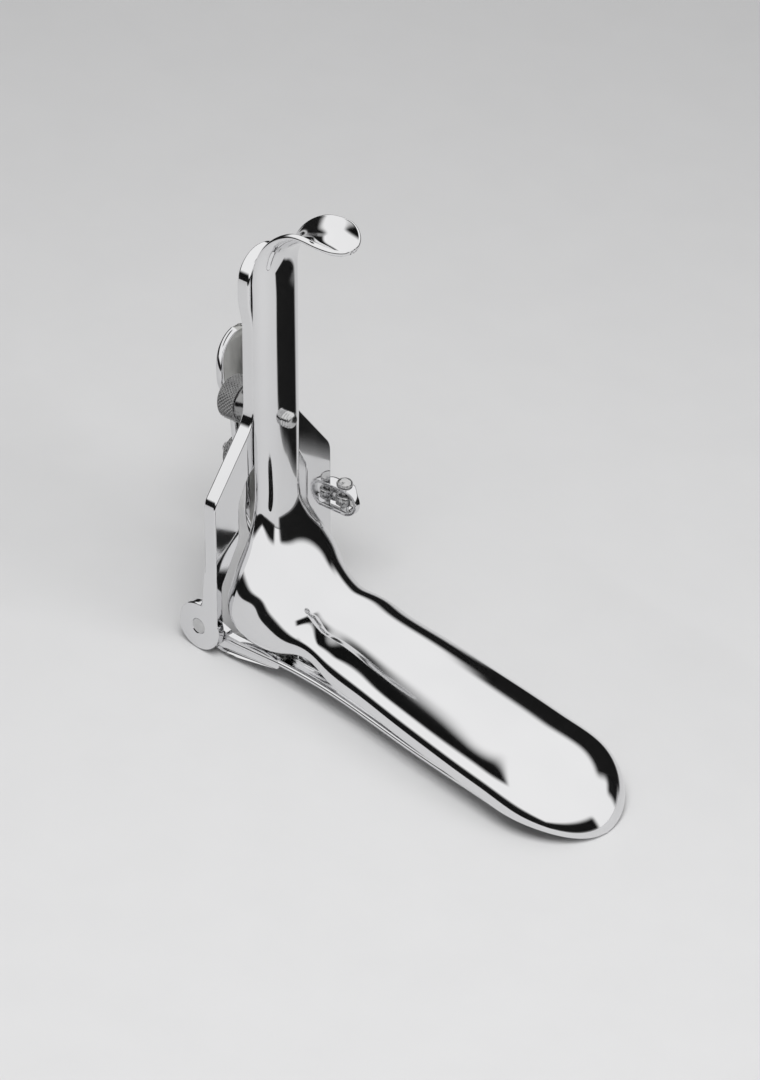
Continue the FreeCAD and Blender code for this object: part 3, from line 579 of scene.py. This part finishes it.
def round_edges(mesh, width, segments, angle=SHARP_ANGLE, clamp=True):
    """Bevel the edges sharper than angle, with width in metres."""
    bm = bmesh.new()
    bm.from_mesh(mesh)
    bmesh.ops.remove_doubles(bm, verts=bm.verts, dist=WELD)
    bmesh.ops.dissolve_limit(bm, angle_limit=math.radians(FLAT_ANGLE), verts=bm.verts, edges=bm.edges)
    sharp = [e for e in bm.edges if len(e.link_faces) == 2 and e.calc_face_angle(0) > math.radians(angle)
             and not left_sharp((e.verts[0].co + e.verts[1].co) / 2)]
    bmesh.ops.bevel(bm, geom=sharp, offset=width, offset_type="OFFSET", segments=segments, profile=0.5,
                    affect="EDGES", clamp_overlap=clamp, harden_normals=False)
    for face in bm.faces:
        face.smooth = True
    bm.to_mesh(mesh)
    bm.free()


def keep_flats(obj):
    """Weighted normals, so that flat faces stay flat beside their rounded edges."""
    modifier = obj.modifiers.new("flats", "WEIGHTED_NORMAL")
    modifier.keep_sharp = True
    modifier.weight = 100


def softened(node, width, material, body, segments, clamp=True):
    """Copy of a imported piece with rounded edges, in its place."""
    mesh = frame["nodes"][node].data.copy()
    obj = bpy.data.objects.new(node + "_finish", mesh)
    bpy.context.scene.collection.objects.link(obj)
    obj.matrix_world = frame["nodes"][node].matrix_world.copy()
    mesh.materials.clear()
    mesh.materials.append(material)
    mesh.polygons.foreach_set("material_index", [0] * len(mesh.polygons))
    round_edges(mesh, width * MM, segments, clamp=clamp)
    keep_flats(obj)
    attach(obj, body)
    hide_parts(node)


def softened_pieces():
    softened("yoke_frame", 0.5, FRAME_STEEL, "frame", 4, clamp=False)
    for name in ("hinge_screw_near", "hinge_screw_far", "swivel_pin"):
        softened(name, 0.12, TURNED, "frame", 2)
    softened("clamp_washer", 0.15, TURNED, "handle", 2)
    softened("clamp_block", 0.15, TURNED, "handle", 2)


# Turned pieces with knurl and thread, with the sizes of the part's source

FORWARD, SIDEWAYS, UP = (1, 0, 0), (0, 1, 0), (0, 0, 1)
CLAMP_Z, FRAME_DEPTH = 49.1, 3.5
WASHER_SEAT, WASHER_THICK, COLLAR_SEAT, COLLAR_LENGTH = 0.1, 0.8, 0.05, 3.1
KNOB_LENGTH, KNOB_RADIUS = 5.0, 5.3
SHANK_RADIUS, SHANK_PROUD, SHANK_REAR = 1.9, 2.3, 1.25
ROD_Y, ROD_Z, ROD_RADIUS, ROD_END, SWIVEL_X = 21.5, 18.4, 1.5, -34.4, 2.4
NUT_FRONT, NUT_LENGTH, NUT_RADIUS = -26.5, 5.0, 4.6
EYE_RADIUS, EYE_HALF_THICK, EYE_BORE = 2.1, 1.2, 1.06
PLAIN_END = 4.0                  # unthreaded length of the rod beside its eye
BORE_LIP = 0.06                  # from the rod's thread to the nut's bore
THREAD_PITCH, SHANK_THREAD, ROD_THREAD = 0.7, 0.26, 0.22
THREAD_FADE, KNURL_FADE = 0.25, 0.3      # length over which either fades out
KNURL_DEPTH, KNURL_FLAT = 0.42, 0.25     # the flat is the share of a diamond that stays whole
KNOB_CROSSINGS, NUT_CROSSINGS = 36, 32
PROFILE_STEP, SHANK_STEP, ROD_STEP = 0.09, 0.06, 0.08


def lathe(name, stations, centre, axis, across, material, around, height=None, caps=True):
    """Surface of revolution from (distance, radius) stations.

    height(distance, turn, radius) is added to the radius."""
    axis, across = Vector(axis), Vector(across)
    third = axis.cross(across)
    vertices = []
    for distance, plain in stations:
        for k in range(around):
            turn = 2 * math.pi * k / around
            radius = plain + (height(distance, turn, plain) if height else 0.0)
            outward = across * math.cos(turn) + third * math.sin(turn)
            vertices.append(Vector(centre) + axis * distance + outward * radius)
    return object_from(name, vertices, rings_joined(len(stations), around, caps), [material])


def dense(profile, step):
    """Stations along a profile, no further apart than about step."""
    stations = [profile[0]]
    for (a, r), (b, q) in zip(profile, profile[1:]):
        count = max(1, round(math.hypot(b - a, q - r) / step))
        stations += [(a + (b - a) * k / count, r + (q - r) * k / count) for k in range(1, count + 1)]
    return stations


def knurl(low, high, crossings):
    """Diamond knurl between two distances along the axis."""
    def height(distance, turn, radius):
        inside = min(1.0, max(0.0, (min(distance - low, high - distance)) / KNURL_FADE))
        if inside <= 0:
            return 0.0
        pitch = 2 * math.pi * radius / crossings
        one = (turn * crossings / (2 * math.pi) + distance / pitch) % 1.0
        two = (turn * crossings / (2 * math.pi) - distance / pitch) % 1.0
        groove = max(abs(one - 0.5), abs(two - 0.5)) * 2
        return -KNURL_DEPTH * inside * max(0.0, (groove - KNURL_FLAT) / (1 - KNURL_FLAT))
    return height


def thread(low, high, depth):
    """Rounded thread between two distances along the axis."""
    def height(distance, turn, radius):
        inside = min(1.0, max(0.0, min(distance - low, high - distance) / THREAD_FADE))
        t = (distance / THREAD_PITCH + turn / (2 * math.pi)) % 1.0
        return -depth * inside * (0.5 - 0.5 * math.cos(2 * math.pi * t)) ** 0.8
    return height


def clamp_pieces():
    centre = (0, 0, CLAMP_Z)
    front = -FRAME_DEPTH - WASHER_SEAT - WASHER_THICK - COLLAR_SEAT - COLLAR_LENGTH
    rear = front - KNOB_LENGTH
    collar = [(front + COLLAR_LENGTH, SHANK_RADIUS + 0.02), (front + COLLAR_LENGTH, 3.0),
              (front + COLLAR_LENGTH - 0.1, 3.1), (front + 0.9, 3.9), (front + 0.2, 4.3), (front, 4.5)]
    head = [(front - 0.1, KNOB_RADIUS - 0.3), (front - 0.45, KNOB_RADIUS), (rear + 0.6, KNOB_RADIUS),
            (rear + 0.15, KNOB_RADIUS - 0.4), (rear, KNOB_RADIUS - 1.0)]
    dimple = [(rear, 3.2), (rear + 0.35, 2.9), (rear + 0.45, 1.0)]
    knob = lathe("clamp_knob_knurled", dense(collar + head + dimple, PROFILE_STEP), centre, FORWARD, UP,
                 KNURLED, 288, knurl(rear + 0.2, front - 0.05, KNOB_CROSSINGS))
    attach(knob, "clamp_screw")
    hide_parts("clamp_knob")
    end = FRONT + SHANK_PROUD
    profile = [(rear + SHANK_REAR, SHANK_RADIUS), (end - 0.55, SHANK_RADIUS),
               (end - 0.2, SHANK_RADIUS - 0.25), (end, SHANK_RADIUS - 0.7)]
    shank = lathe("clamp_shank_threaded", dense(profile, SHANK_STEP), centre, FORWARD, UP, TURNED, 96,
                  thread(-2.0, end - 0.1, SHANK_THREAD))
    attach(shank, "clamp_screw")
    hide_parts("clamp_shank")


def rod_pieces():
    centre = (0, ROD_Y, ROD_Z)
    rear = NUT_FRONT - NUT_LENGTH
    bore = ROD_RADIUS + BORE_LIP
    collar = [(NUT_FRONT, bore), (NUT_FRONT, 2.75), (NUT_FRONT - 0.12, 2.9), (NUT_FRONT - 0.9, 3.2)]
    head = [(NUT_FRONT - 1.0, NUT_RADIUS - 0.5), (NUT_FRONT - 1.15, NUT_RADIUS - 0.2),
            (NUT_FRONT - 1.4, NUT_RADIUS), (rear + 0.5, NUT_RADIUS), (rear + 0.12, NUT_RADIUS - 0.3),
            (rear, NUT_RADIUS - 0.6), (rear, bore)]
    nut = lathe("adjusting_nut_knurled", dense(collar + head, PROFILE_STEP), centre, FORWARD, UP, KNURLED,
                252, knurl(rear + 0.15, NUT_FRONT - 1.1, NUT_CROSSINGS))
    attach(nut, "nut")
    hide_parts("adjusting_nut")
    profile = [(ROD_END, ROD_RADIUS - 0.6), (ROD_END + 0.1, ROD_RADIUS - 0.3), (ROD_END + 0.5, ROD_RADIUS),
               (SWIVEL_X - 2.7, ROD_RADIUS), (SWIVEL_X - 1.4, ROD_RADIUS - 0.35), (SWIVEL_X - 1.35, 0.5)]
    shank = lathe("rod_thread", dense(profile, ROD_STEP), centre, FORWARD, UP, TURNED, 72,
                  thread(ROD_END + 0.1, SWIVEL_X - EYE_RADIUS - PLAIN_END, ROD_THREAD))
    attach(shank, "rod")
    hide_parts("adjusting_rod")
    ring = rounded_ring(EYE_HALF_THICK, EYE_BORE, [(0.0, EYE_RADIUS - 0.2), (0.2, EYE_RADIUS)])
    eye = lathe("rod_eye", ring, (SWIVEL_X, ROD_Y, ROD_Z), UP, FORWARD, TURNED, 64, caps=False)
    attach(eye, "rod")


def rounded_ring(half_thick, bore, corner):
    """Closed section of a ring; corner holds (distance from the face, radius) points of its outer edge."""
    rear = [(depth - half_thick, radius) for depth, radius in corner]
    front = [(half_thick - depth, radius) for depth, radius in reversed(corner)]
    return [(-half_thick, bore)] + rear + front + [(half_thick, bore), (-half_thick, bore)]


# The rod's strap

STRAP_THICK, STRAP_INSIDE, STRAP_REACH, STRAP_REAR = 1.0, 4.9, 7.0, -3.2
STRAP_WIDE, STRAP_NARROW = (1.85, 21.55), (0.85, 20.9)     # half width and middle y at the pin and the bend
TAPER_START, TAPER_LENGTH = SWIVEL_X + 1.2, 2.6
STRAP_LEG_STEPS, STRAP_BEND_STEPS, STRAP_AROUND = 27, 32, 24
STRAP_END_STEPS = 7              # steps over which an end of the strap is rounded
STRAP_SQUARE_ACROSS, STRAP_SQUARE_THROUGH = 0.35, 0.5      # exponents of the strap's section


def signed_power(value, power):
    return math.copysign(abs(value) ** power, value)


def strap_loop():
    """The rod's bracket: a strap bent into an open loop, wide at the swivel pin and narrow at its bend."""
    thick = STRAP_THICK / 2
    half = STRAP_INSIDE / 2 + thick
    middle = STRAP_REACH - half - thick
    path = [(x, half, 0.0) for x in np.linspace(STRAP_REAR, middle, STRAP_LEG_STEPS + 1)]
    for k in range(1, STRAP_BEND_STEPS + 1):
        a = math.pi * k / STRAP_BEND_STEPS
        path.append((middle + half * math.sin(a), half * math.cos(a), a))
    path += [(x, -half, math.pi) for x in np.linspace(middle, STRAP_REAR, STRAP_LEG_STEPS + 1)[1:]]
    vertices = []
    for step, (x, z, a) in enumerate(path):
        away = min(1.0, (0.4 + min(step, len(path) - 1 - step)) / STRAP_END_STEPS)
        share = math.sqrt(1 - (1 - away) ** 2)
        t = min(1.0, max(0.0, (x - TAPER_START) / TAPER_LENGTH))
        t = t * t * (3 - 2 * t)
        wide, centre = (low + (high - low) * t for low, high in zip(STRAP_WIDE, STRAP_NARROW))
        out = Vector((math.sin(a), 0, math.cos(a)))
        for k in range(STRAP_AROUND):
            turn = 2 * math.pi * k / STRAP_AROUND
            across = wide * signed_power(math.cos(turn), STRAP_SQUARE_ACROSS)
            up = thick * signed_power(math.sin(turn), STRAP_SQUARE_THROUGH)
            vertices.append(Vector((x, centre + across * share, ROD_Z + z)) + out * up)
    obj = object_from("rod_strap_loop", vertices, rings_joined(len(path), STRAP_AROUND), [FRAME_STEEL])
    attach(obj, "frame")
    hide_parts("rod_bracket")


# Thumb lever

LEVER_PATH = [                  # step, x, y, z, twist, half width, dish
    (0, HINGE_X, 15.3, 0.1, 0, 4.2, 0.0), (1, -9.6, 15.3, 0.5, 0, 4.2, 0.0),
    (2, -13.8, 15.7, 2.3, 16, 4.3, 0.0), (3, -17.6, 17.0, 5.6, 46, 4.6, 0.0),
    (4, -21.2, 19.3, 9.8, 74, 5.0, 0.0), (5, -24.0, 20.9, 15.8, 88, 5.2, 0.0),
    (6, -26.0, 21.0, 22.2, 90, 5.0, 0.0), (7, -27.6, 20.5, 29.0, 90, 6.5, 0.3),
    (8, -28.7, 20.0, 36.0, 90, 9.5, 1.0), (9, -29.4, 20.0, 43.0, 90, 9.5, 2.0),
    (10, -29.9, 20.0, 49.0, 90, 9.5, 2.0), (11, -29.6, 20.0, 54.5, 90, 9.5, 2.0)]
LEVER_THICK, LEVER_START, LEVER_ROWS = 1.8, 2.0, 420
REST_Y, REST_TOP, REST_HALF_WIDTH, REST_NECK = 20.0, 52.5, 8.5, 4.3
NOTCH_LOW, NOTCH_HIGH, NOTCH_INSIDE = 9.6, 20.9, 19.5
NECK_LOW, NECK_HIGH, REST_FULL = 26, 33, 43      # heights between which the lever's width changes
NECK_SWELL, FOOT_SPREAD = 0.6, 0.35
RIM_BAND = 0.75                  # width of the polished band beside the rim
SATIN_QUADS = 22
LIMIT_SMOOTHING = 3              # rows to either side that the lever's limits are averaged over
HOLLOW_RIM, HOLLOW_RUN, HOLLOW_DEPTH = 1.2, 0.8, 0.3     # shallow hollow in the back of the rest
HOLLOW_LOW, HOLLOW_LOW_RUN = 34, 5
HOLLOW_HIGH, HOLLOW_HIGH_RUN = REST_TOP - 1.0, 1.2
LEVER_EYE_RADIUS, LEVER_EYE_BORE, LEVER_EYE_Y = 4.6, 2.06, 14.45


def lever_limits(z):
    """Lowest and highest y of the lever at a height, from the rest's outline and the rod's notch."""
    if z < NECK_LOW:
        half = REST_NECK + NECK_SWELL + FOOT_SPREAD * (NECK_LOW - z)
    elif z < NECK_HIGH:
        half = REST_NECK + NECK_SWELL * (NECK_HIGH - z) / (NECK_HIGH - NECK_LOW)
    elif z < REST_FULL:
        rise = 0.5 - 0.5 * math.cos(math.pi * (z - NECK_HIGH) / (REST_FULL - NECK_HIGH))
        half = REST_NECK + (REST_HALF_WIDTH - REST_NECK) * rise
    else:
        top = max(0.0, z - (REST_TOP - REST_HALF_WIDTH))
        half = math.sqrt(max(0.0, REST_HALF_WIDTH ** 2 - top ** 2))
    high = NOTCH_INSIDE if NOTCH_LOW < z < NOTCH_HIGH else REST_Y + half
    return REST_Y - half, high


def lever_line():
    """Fine middles, directions across, half widths and dishes along the lever."""
    table = np.array([blend_table(LEVER_PATH, k / 2) for k in range(2 * len(LEVER_PATH) - 1)])
    middles = table[:, :3]
    ahead = unit(np.gradient(middles, axis=0))
    side = np.array([0.0, 1.0, 0.0])
    flat = unit(np.cross(side, ahead))
    upright = unit(side - ahead * (ahead @ side)[:, None])
    twist = np.radians(table[:, 3])[:, None]
    wide = unit(flat * np.cos(twist) + upright * np.sin(twist))
    knots = run_along(middles)
    values = np.concatenate([middles, wide, table[:, 4:6]], 1)
    fine = spline(values, knots, np.linspace(LEVER_START, knots[-1], LEVER_ROWS))
    return fine[:, :3], unit(fine[:, 3:6]), fine[:, 6], fine[:, 7]


def lever_ends(middles, wide, halves):
    """Where each row of the lever starts and ends, measured across from its middle."""
    ends = []
    for middle, across, half in zip(middles, wide, halves):
        low, high = lever_limits(middle[2])
        steep = max(across[1], 0.3)
        ends.append((max(-half, (low - middle[1]) / steep), min(half, (high - middle[1]) / steep)))
    return np.array(ends)


def lever_sheet():
    """A twisted strip with satin faces, a polished rim, the rod's notch and a dished rest."""
    middles, wide, halves, dishes = lever_line()
    face = unit(np.cross(unit(np.gradient(middles, axis=0)), wide))
    ends = lever_ends(middles, wide, halves)
    kept = ends[:, 1] - ends[:, 0] > 0.5
    middles, wide, face, halves, dishes, ends = (a[kept] for a in (middles, wide, face, halves, dishes, ends))
    smoothed = 2 * LIMIT_SMOOTHING
    padded = np.concatenate([ends[:1].repeat(LIMIT_SMOOTHING, 0), ends, ends[-1:].repeat(LIMIT_SMOOTHING, 0)])
    means = np.stack([padded[k:k + len(ends)] for k in range(smoothed + 1)]).mean(0)
    ends[:-smoothed] = means[:-smoothed]
    front, back = [], []
    for middle, w, f, half, dish, (low, high) in zip(middles, wide, face, halves, dishes, ends):
        reach = (high - low) / 2
        inset = min(EDGE, 0.45 * reach)
        border = min(RIM_BAND, 0.3 * reach)
        satin = np.linspace(low + inset + border, high - inset - border, SATIN_QUADS + 1)
        across = np.concatenate([[low + inset], satin, [high - inset]])
        skin = middle + np.outer(across, w) - np.outer(dish * (across / half) ** 2, f)
        deep = np.clip((np.minimum(across - low, high - across) - HOLLOW_RIM) / HOLLOW_RUN, 0, 1)
        deep = deep * deep * (3 - 2 * deep) * HOLLOW_DEPTH
        foot = min(1.0, max(0.0, (middle[2] - HOLLOW_LOW) / HOLLOW_LOW_RUN))
        top = min(1.0, max(0.0, (HOLLOW_HIGH - middle[2]) / HOLLOW_HIGH_RUN))
        front.append(skin)
        back.append(skin - f * (LEVER_THICK - (deep * foot * top)[:, None]))
    front, back = np.array(front), np.array(back)
    obj = closed_sheet("lever_sheet", front, unit(front - back), back, [SATIN, RIM], 1)
    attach(obj, "lower_blade")
    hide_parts("thumb_lever")


def lever_eye():
    """The lever's flat eye round the far hinge screw."""
    corner = [(0.0, LEVER_EYE_RADIUS - 0.4), (0.1, LEVER_EYE_RADIUS - 0.15), (0.3, LEVER_EYE_RADIUS)]
    ring = rounded_ring(1.0, LEVER_EYE_BORE, corner)
    eye = lathe("lever_eye", ring, (HINGE_X, LEVER_EYE_Y, 0), SIDEWAYS, UP, SATIN, 96, caps=False)
    keep_flats(eye)
    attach(eye, "lower_blade")


# Floor, camera and light

FLOOR_SIZE = 6                   # metres
CAMERA_AZIMUTH, CAMERA_ELEVATION = math.radians(41.05), math.radians(30.6)   # in the handle's frame
CAMERA_DISTANCE, SENSOR = 1.3, 36
PHOTO_SCALE, PHOTO_HEIGHT = 4.5, 1080      # pixels to the mm at the object, and pixels
LAMP_AIM, LAMP_SPREAD = (0.02, 0, 0.03), math.radians(150)
CARD_LIGHTNESS = 0.012
LAMPS = [                       # name, place, size, power
    ("key_softbox", (0.1, -0.25, 0.75), (0.5, 0.5), 3.6),
    ("side_softbox", (0.75, 0.2, 0.45), (0.5, 0.3), 1.4)]
CARDS = [                       # name, middle, the point that it faces, size, fade as shares of it
    ("overhead_flag", (-0.36, -0.10, 0.75), (0.03, 0, 0.02), (0.85, 0.30), (0.2, 0.3)),
    ("far_flag", (0.036, 0.070, 0.028), (0.036, 0, 0.028), (0.12, 0.072), (0.15, 0.2)),
    ("low_near_flag", (0.05, -0.28, 0.06), (0.05, 0, 0.06), (0.9, 0.22), (0.1, 0.3)),
    ("low_left_flag", (-0.32, -0.02, 0.08), (0, -0.02, 0.08), (0.6, 0.26), (0.1, 0.3)),
    ("low_far_flag", (-0.05, 0.42, 0.10), (0, 0, 0.10), (0.9, 0.26), (0.1, 0.3)),
    ("low_front_flag", (0.45, -0.05, 0.08), (0, -0.05, 0.08), (0.6, 0.24), (0.1, 0.3))]
WORLD_LIGHT, WORLD_SEEN = 0.35, 1.0


def pale_floor():
    bpy.ops.mesh.primitive_plane_add(size=FLOOR_SIZE, location=(0, 0, 0))
    floor = bpy.context.object
    floor.name = "floor"
    floor.data.materials.append(floor_material())


def photo_camera():
    flat = math.cos(CAMERA_ELEVATION)
    right = (math.cos(CAMERA_AZIMUTH), math.sin(CAMERA_AZIMUTH), 0)
    back = (math.sin(CAMERA_AZIMUTH) * flat, -math.cos(CAMERA_AZIMUTH) * flat, math.sin(CAMERA_ELEVATION))
    right, back = TURN_TO_ROW @ Vector(right), TURN_TO_ROW @ Vector(back)
    up = back.cross(right)
    data = bpy.data.cameras.new("camera")
    camera = bpy.data.objects.new("camera", data)
    bpy.context.scene.collection.objects.link(camera)
    data.sensor_fit = "AUTO"
    data.sensor_width = SENSOR
    data.lens = SENSOR * CAMERA_DISTANCE / (PHOTO_HEIGHT / PHOTO_SCALE * MM)
    data.clip_start, data.clip_end = 0.05, 20
    aim = place(31.8, 0, 28.4)
    rotation = Matrix((right, up, back)).transposed().to_4x4()
    camera.matrix_world = Matrix.Translation(aim + back * CAMERA_DISTANCE) @ rotation
    bpy.context.scene.camera = camera


def turned_towards(obj, middle, target, axis):
    """Put an object at middle, with its own axis pointing at target."""
    obj.location = middle
    obj.rotation_mode = "QUATERNION"
    obj.rotation_quaternion = (Vector(target) - Vector(middle)).to_track_quat(axis, "Y")


def softbox(name, middle, size, power):
    """Soft lamp that neither the camera nor the metal sees."""
    data = bpy.data.lights.new(name, "AREA")
    data.shape = "RECTANGLE"
    data.size, data.size_y = size
    data.energy = power
    data.spread = LAMP_SPREAD
    lamp = bpy.data.objects.new(name, data)
    bpy.context.scene.collection.objects.link(lamp)
    turned_towards(lamp, middle, LAMP_AIM, "-Z")
    lamp.visible_camera = False
    lamp.visible_glossy = False


def card(name, middle, target, size, fade):
    """A dark studio card with soft edges: the metal mirrors it, and the camera doesn't see it."""
    bpy.ops.mesh.primitive_plane_add(size=1)
    obj = bpy.context.object
    obj.name = name
    obj.scale = (*size, 1)
    turned_towards(obj, middle, target, "Z")
    paper = Nodes(name)
    paper.shader.inputs["Roughness"].default_value = 0.9
    paper.shader.inputs["Specular IOR Level"].default_value = 0.1
    paper.tint(paper.noise(8, 2), grey(CARD_LIGHTNESS * 0.9), grey(CARD_LIGHTNESS * 1.1))
    where = paper.add("ShaderNodeTexCoord")
    axes = paper.add("ShaderNodeSeparateXYZ")
    paper.join(where.outputs["Generated"], axes.inputs[0])
    fades = []
    for axis, soft in zip(("X", "Y"), fade):
        across = axes.outputs[axis]
        edge = paper.math("MINIMUM", across, paper.math("SUBTRACT", 1.0, across))
        ramp = paper.add("ShaderNodeMapRange", interpolation_type="SMOOTHSTEP")
        ramp.inputs["From Max"].default_value = soft
        paper.join(edge, ramp.inputs["Value"])
        fades.append(ramp.outputs["Result"])
    paper.join(paper.math("MULTIPLY", *fades), paper.shader.inputs["Alpha"])
    obj.data.materials.append(paper.material)
    obj.visible_camera = False
    obj.visible_shadow = False
    obj.visible_diffuse = False


def studio_world():
    """White where the camera, a mirror or a see-through surface looks at it, and dimmer as a light."""
    world = bpy.data.worlds.new("studio")
    bpy.context.scene.world = world
    world.use_nodes = True
    tree = world.node_tree
    tree.nodes.clear()
    out = tree.nodes.new("ShaderNodeOutputWorld")
    mix = tree.nodes.new("ShaderNodeMixShader")
    for socket, strength in ((mix.inputs[1], WORLD_LIGHT), (mix.inputs[2], WORLD_SEEN)):
        background = tree.nodes.new("ShaderNodeBackground")
        background.inputs["Color"].default_value = (1, 1, 1, 1)
        background.inputs["Strength"].default_value = strength
        tree.links.new(background.outputs[0], socket)
    path = tree.nodes.new("ShaderNodeLightPath")
    seen = path.outputs["Is Camera Ray"]
    for ray in ("Is Glossy Ray", "Is Transmission Ray"):
        either = tree.nodes.new("ShaderNodeMath")
        either.operation = "MAXIMUM"
        tree.links.new(seen, either.inputs[0])
        tree.links.new(path.outputs[ray], either.inputs[1])
        seen = either.outputs[0]
    tree.links.new(seen, mix.inputs["Fac"])
    tree.links.new(mix.outputs[0], out.inputs["Surface"])


def studio():
    bpy.context.scene.view_settings.view_transform = "Standard"
    pale_floor()
    photo_camera()
    studio_world()
    for lamp in LAMPS:
        softbox(*lamp)
    for flag in CARDS:
        card(*flag)


dress_cad_nodes()
upper_blade()
lower_blade()
clamp_pieces()
rod_pieces()
softened_pieces()
strap_loop()
lever_sheet()
lever_eye()
studio()
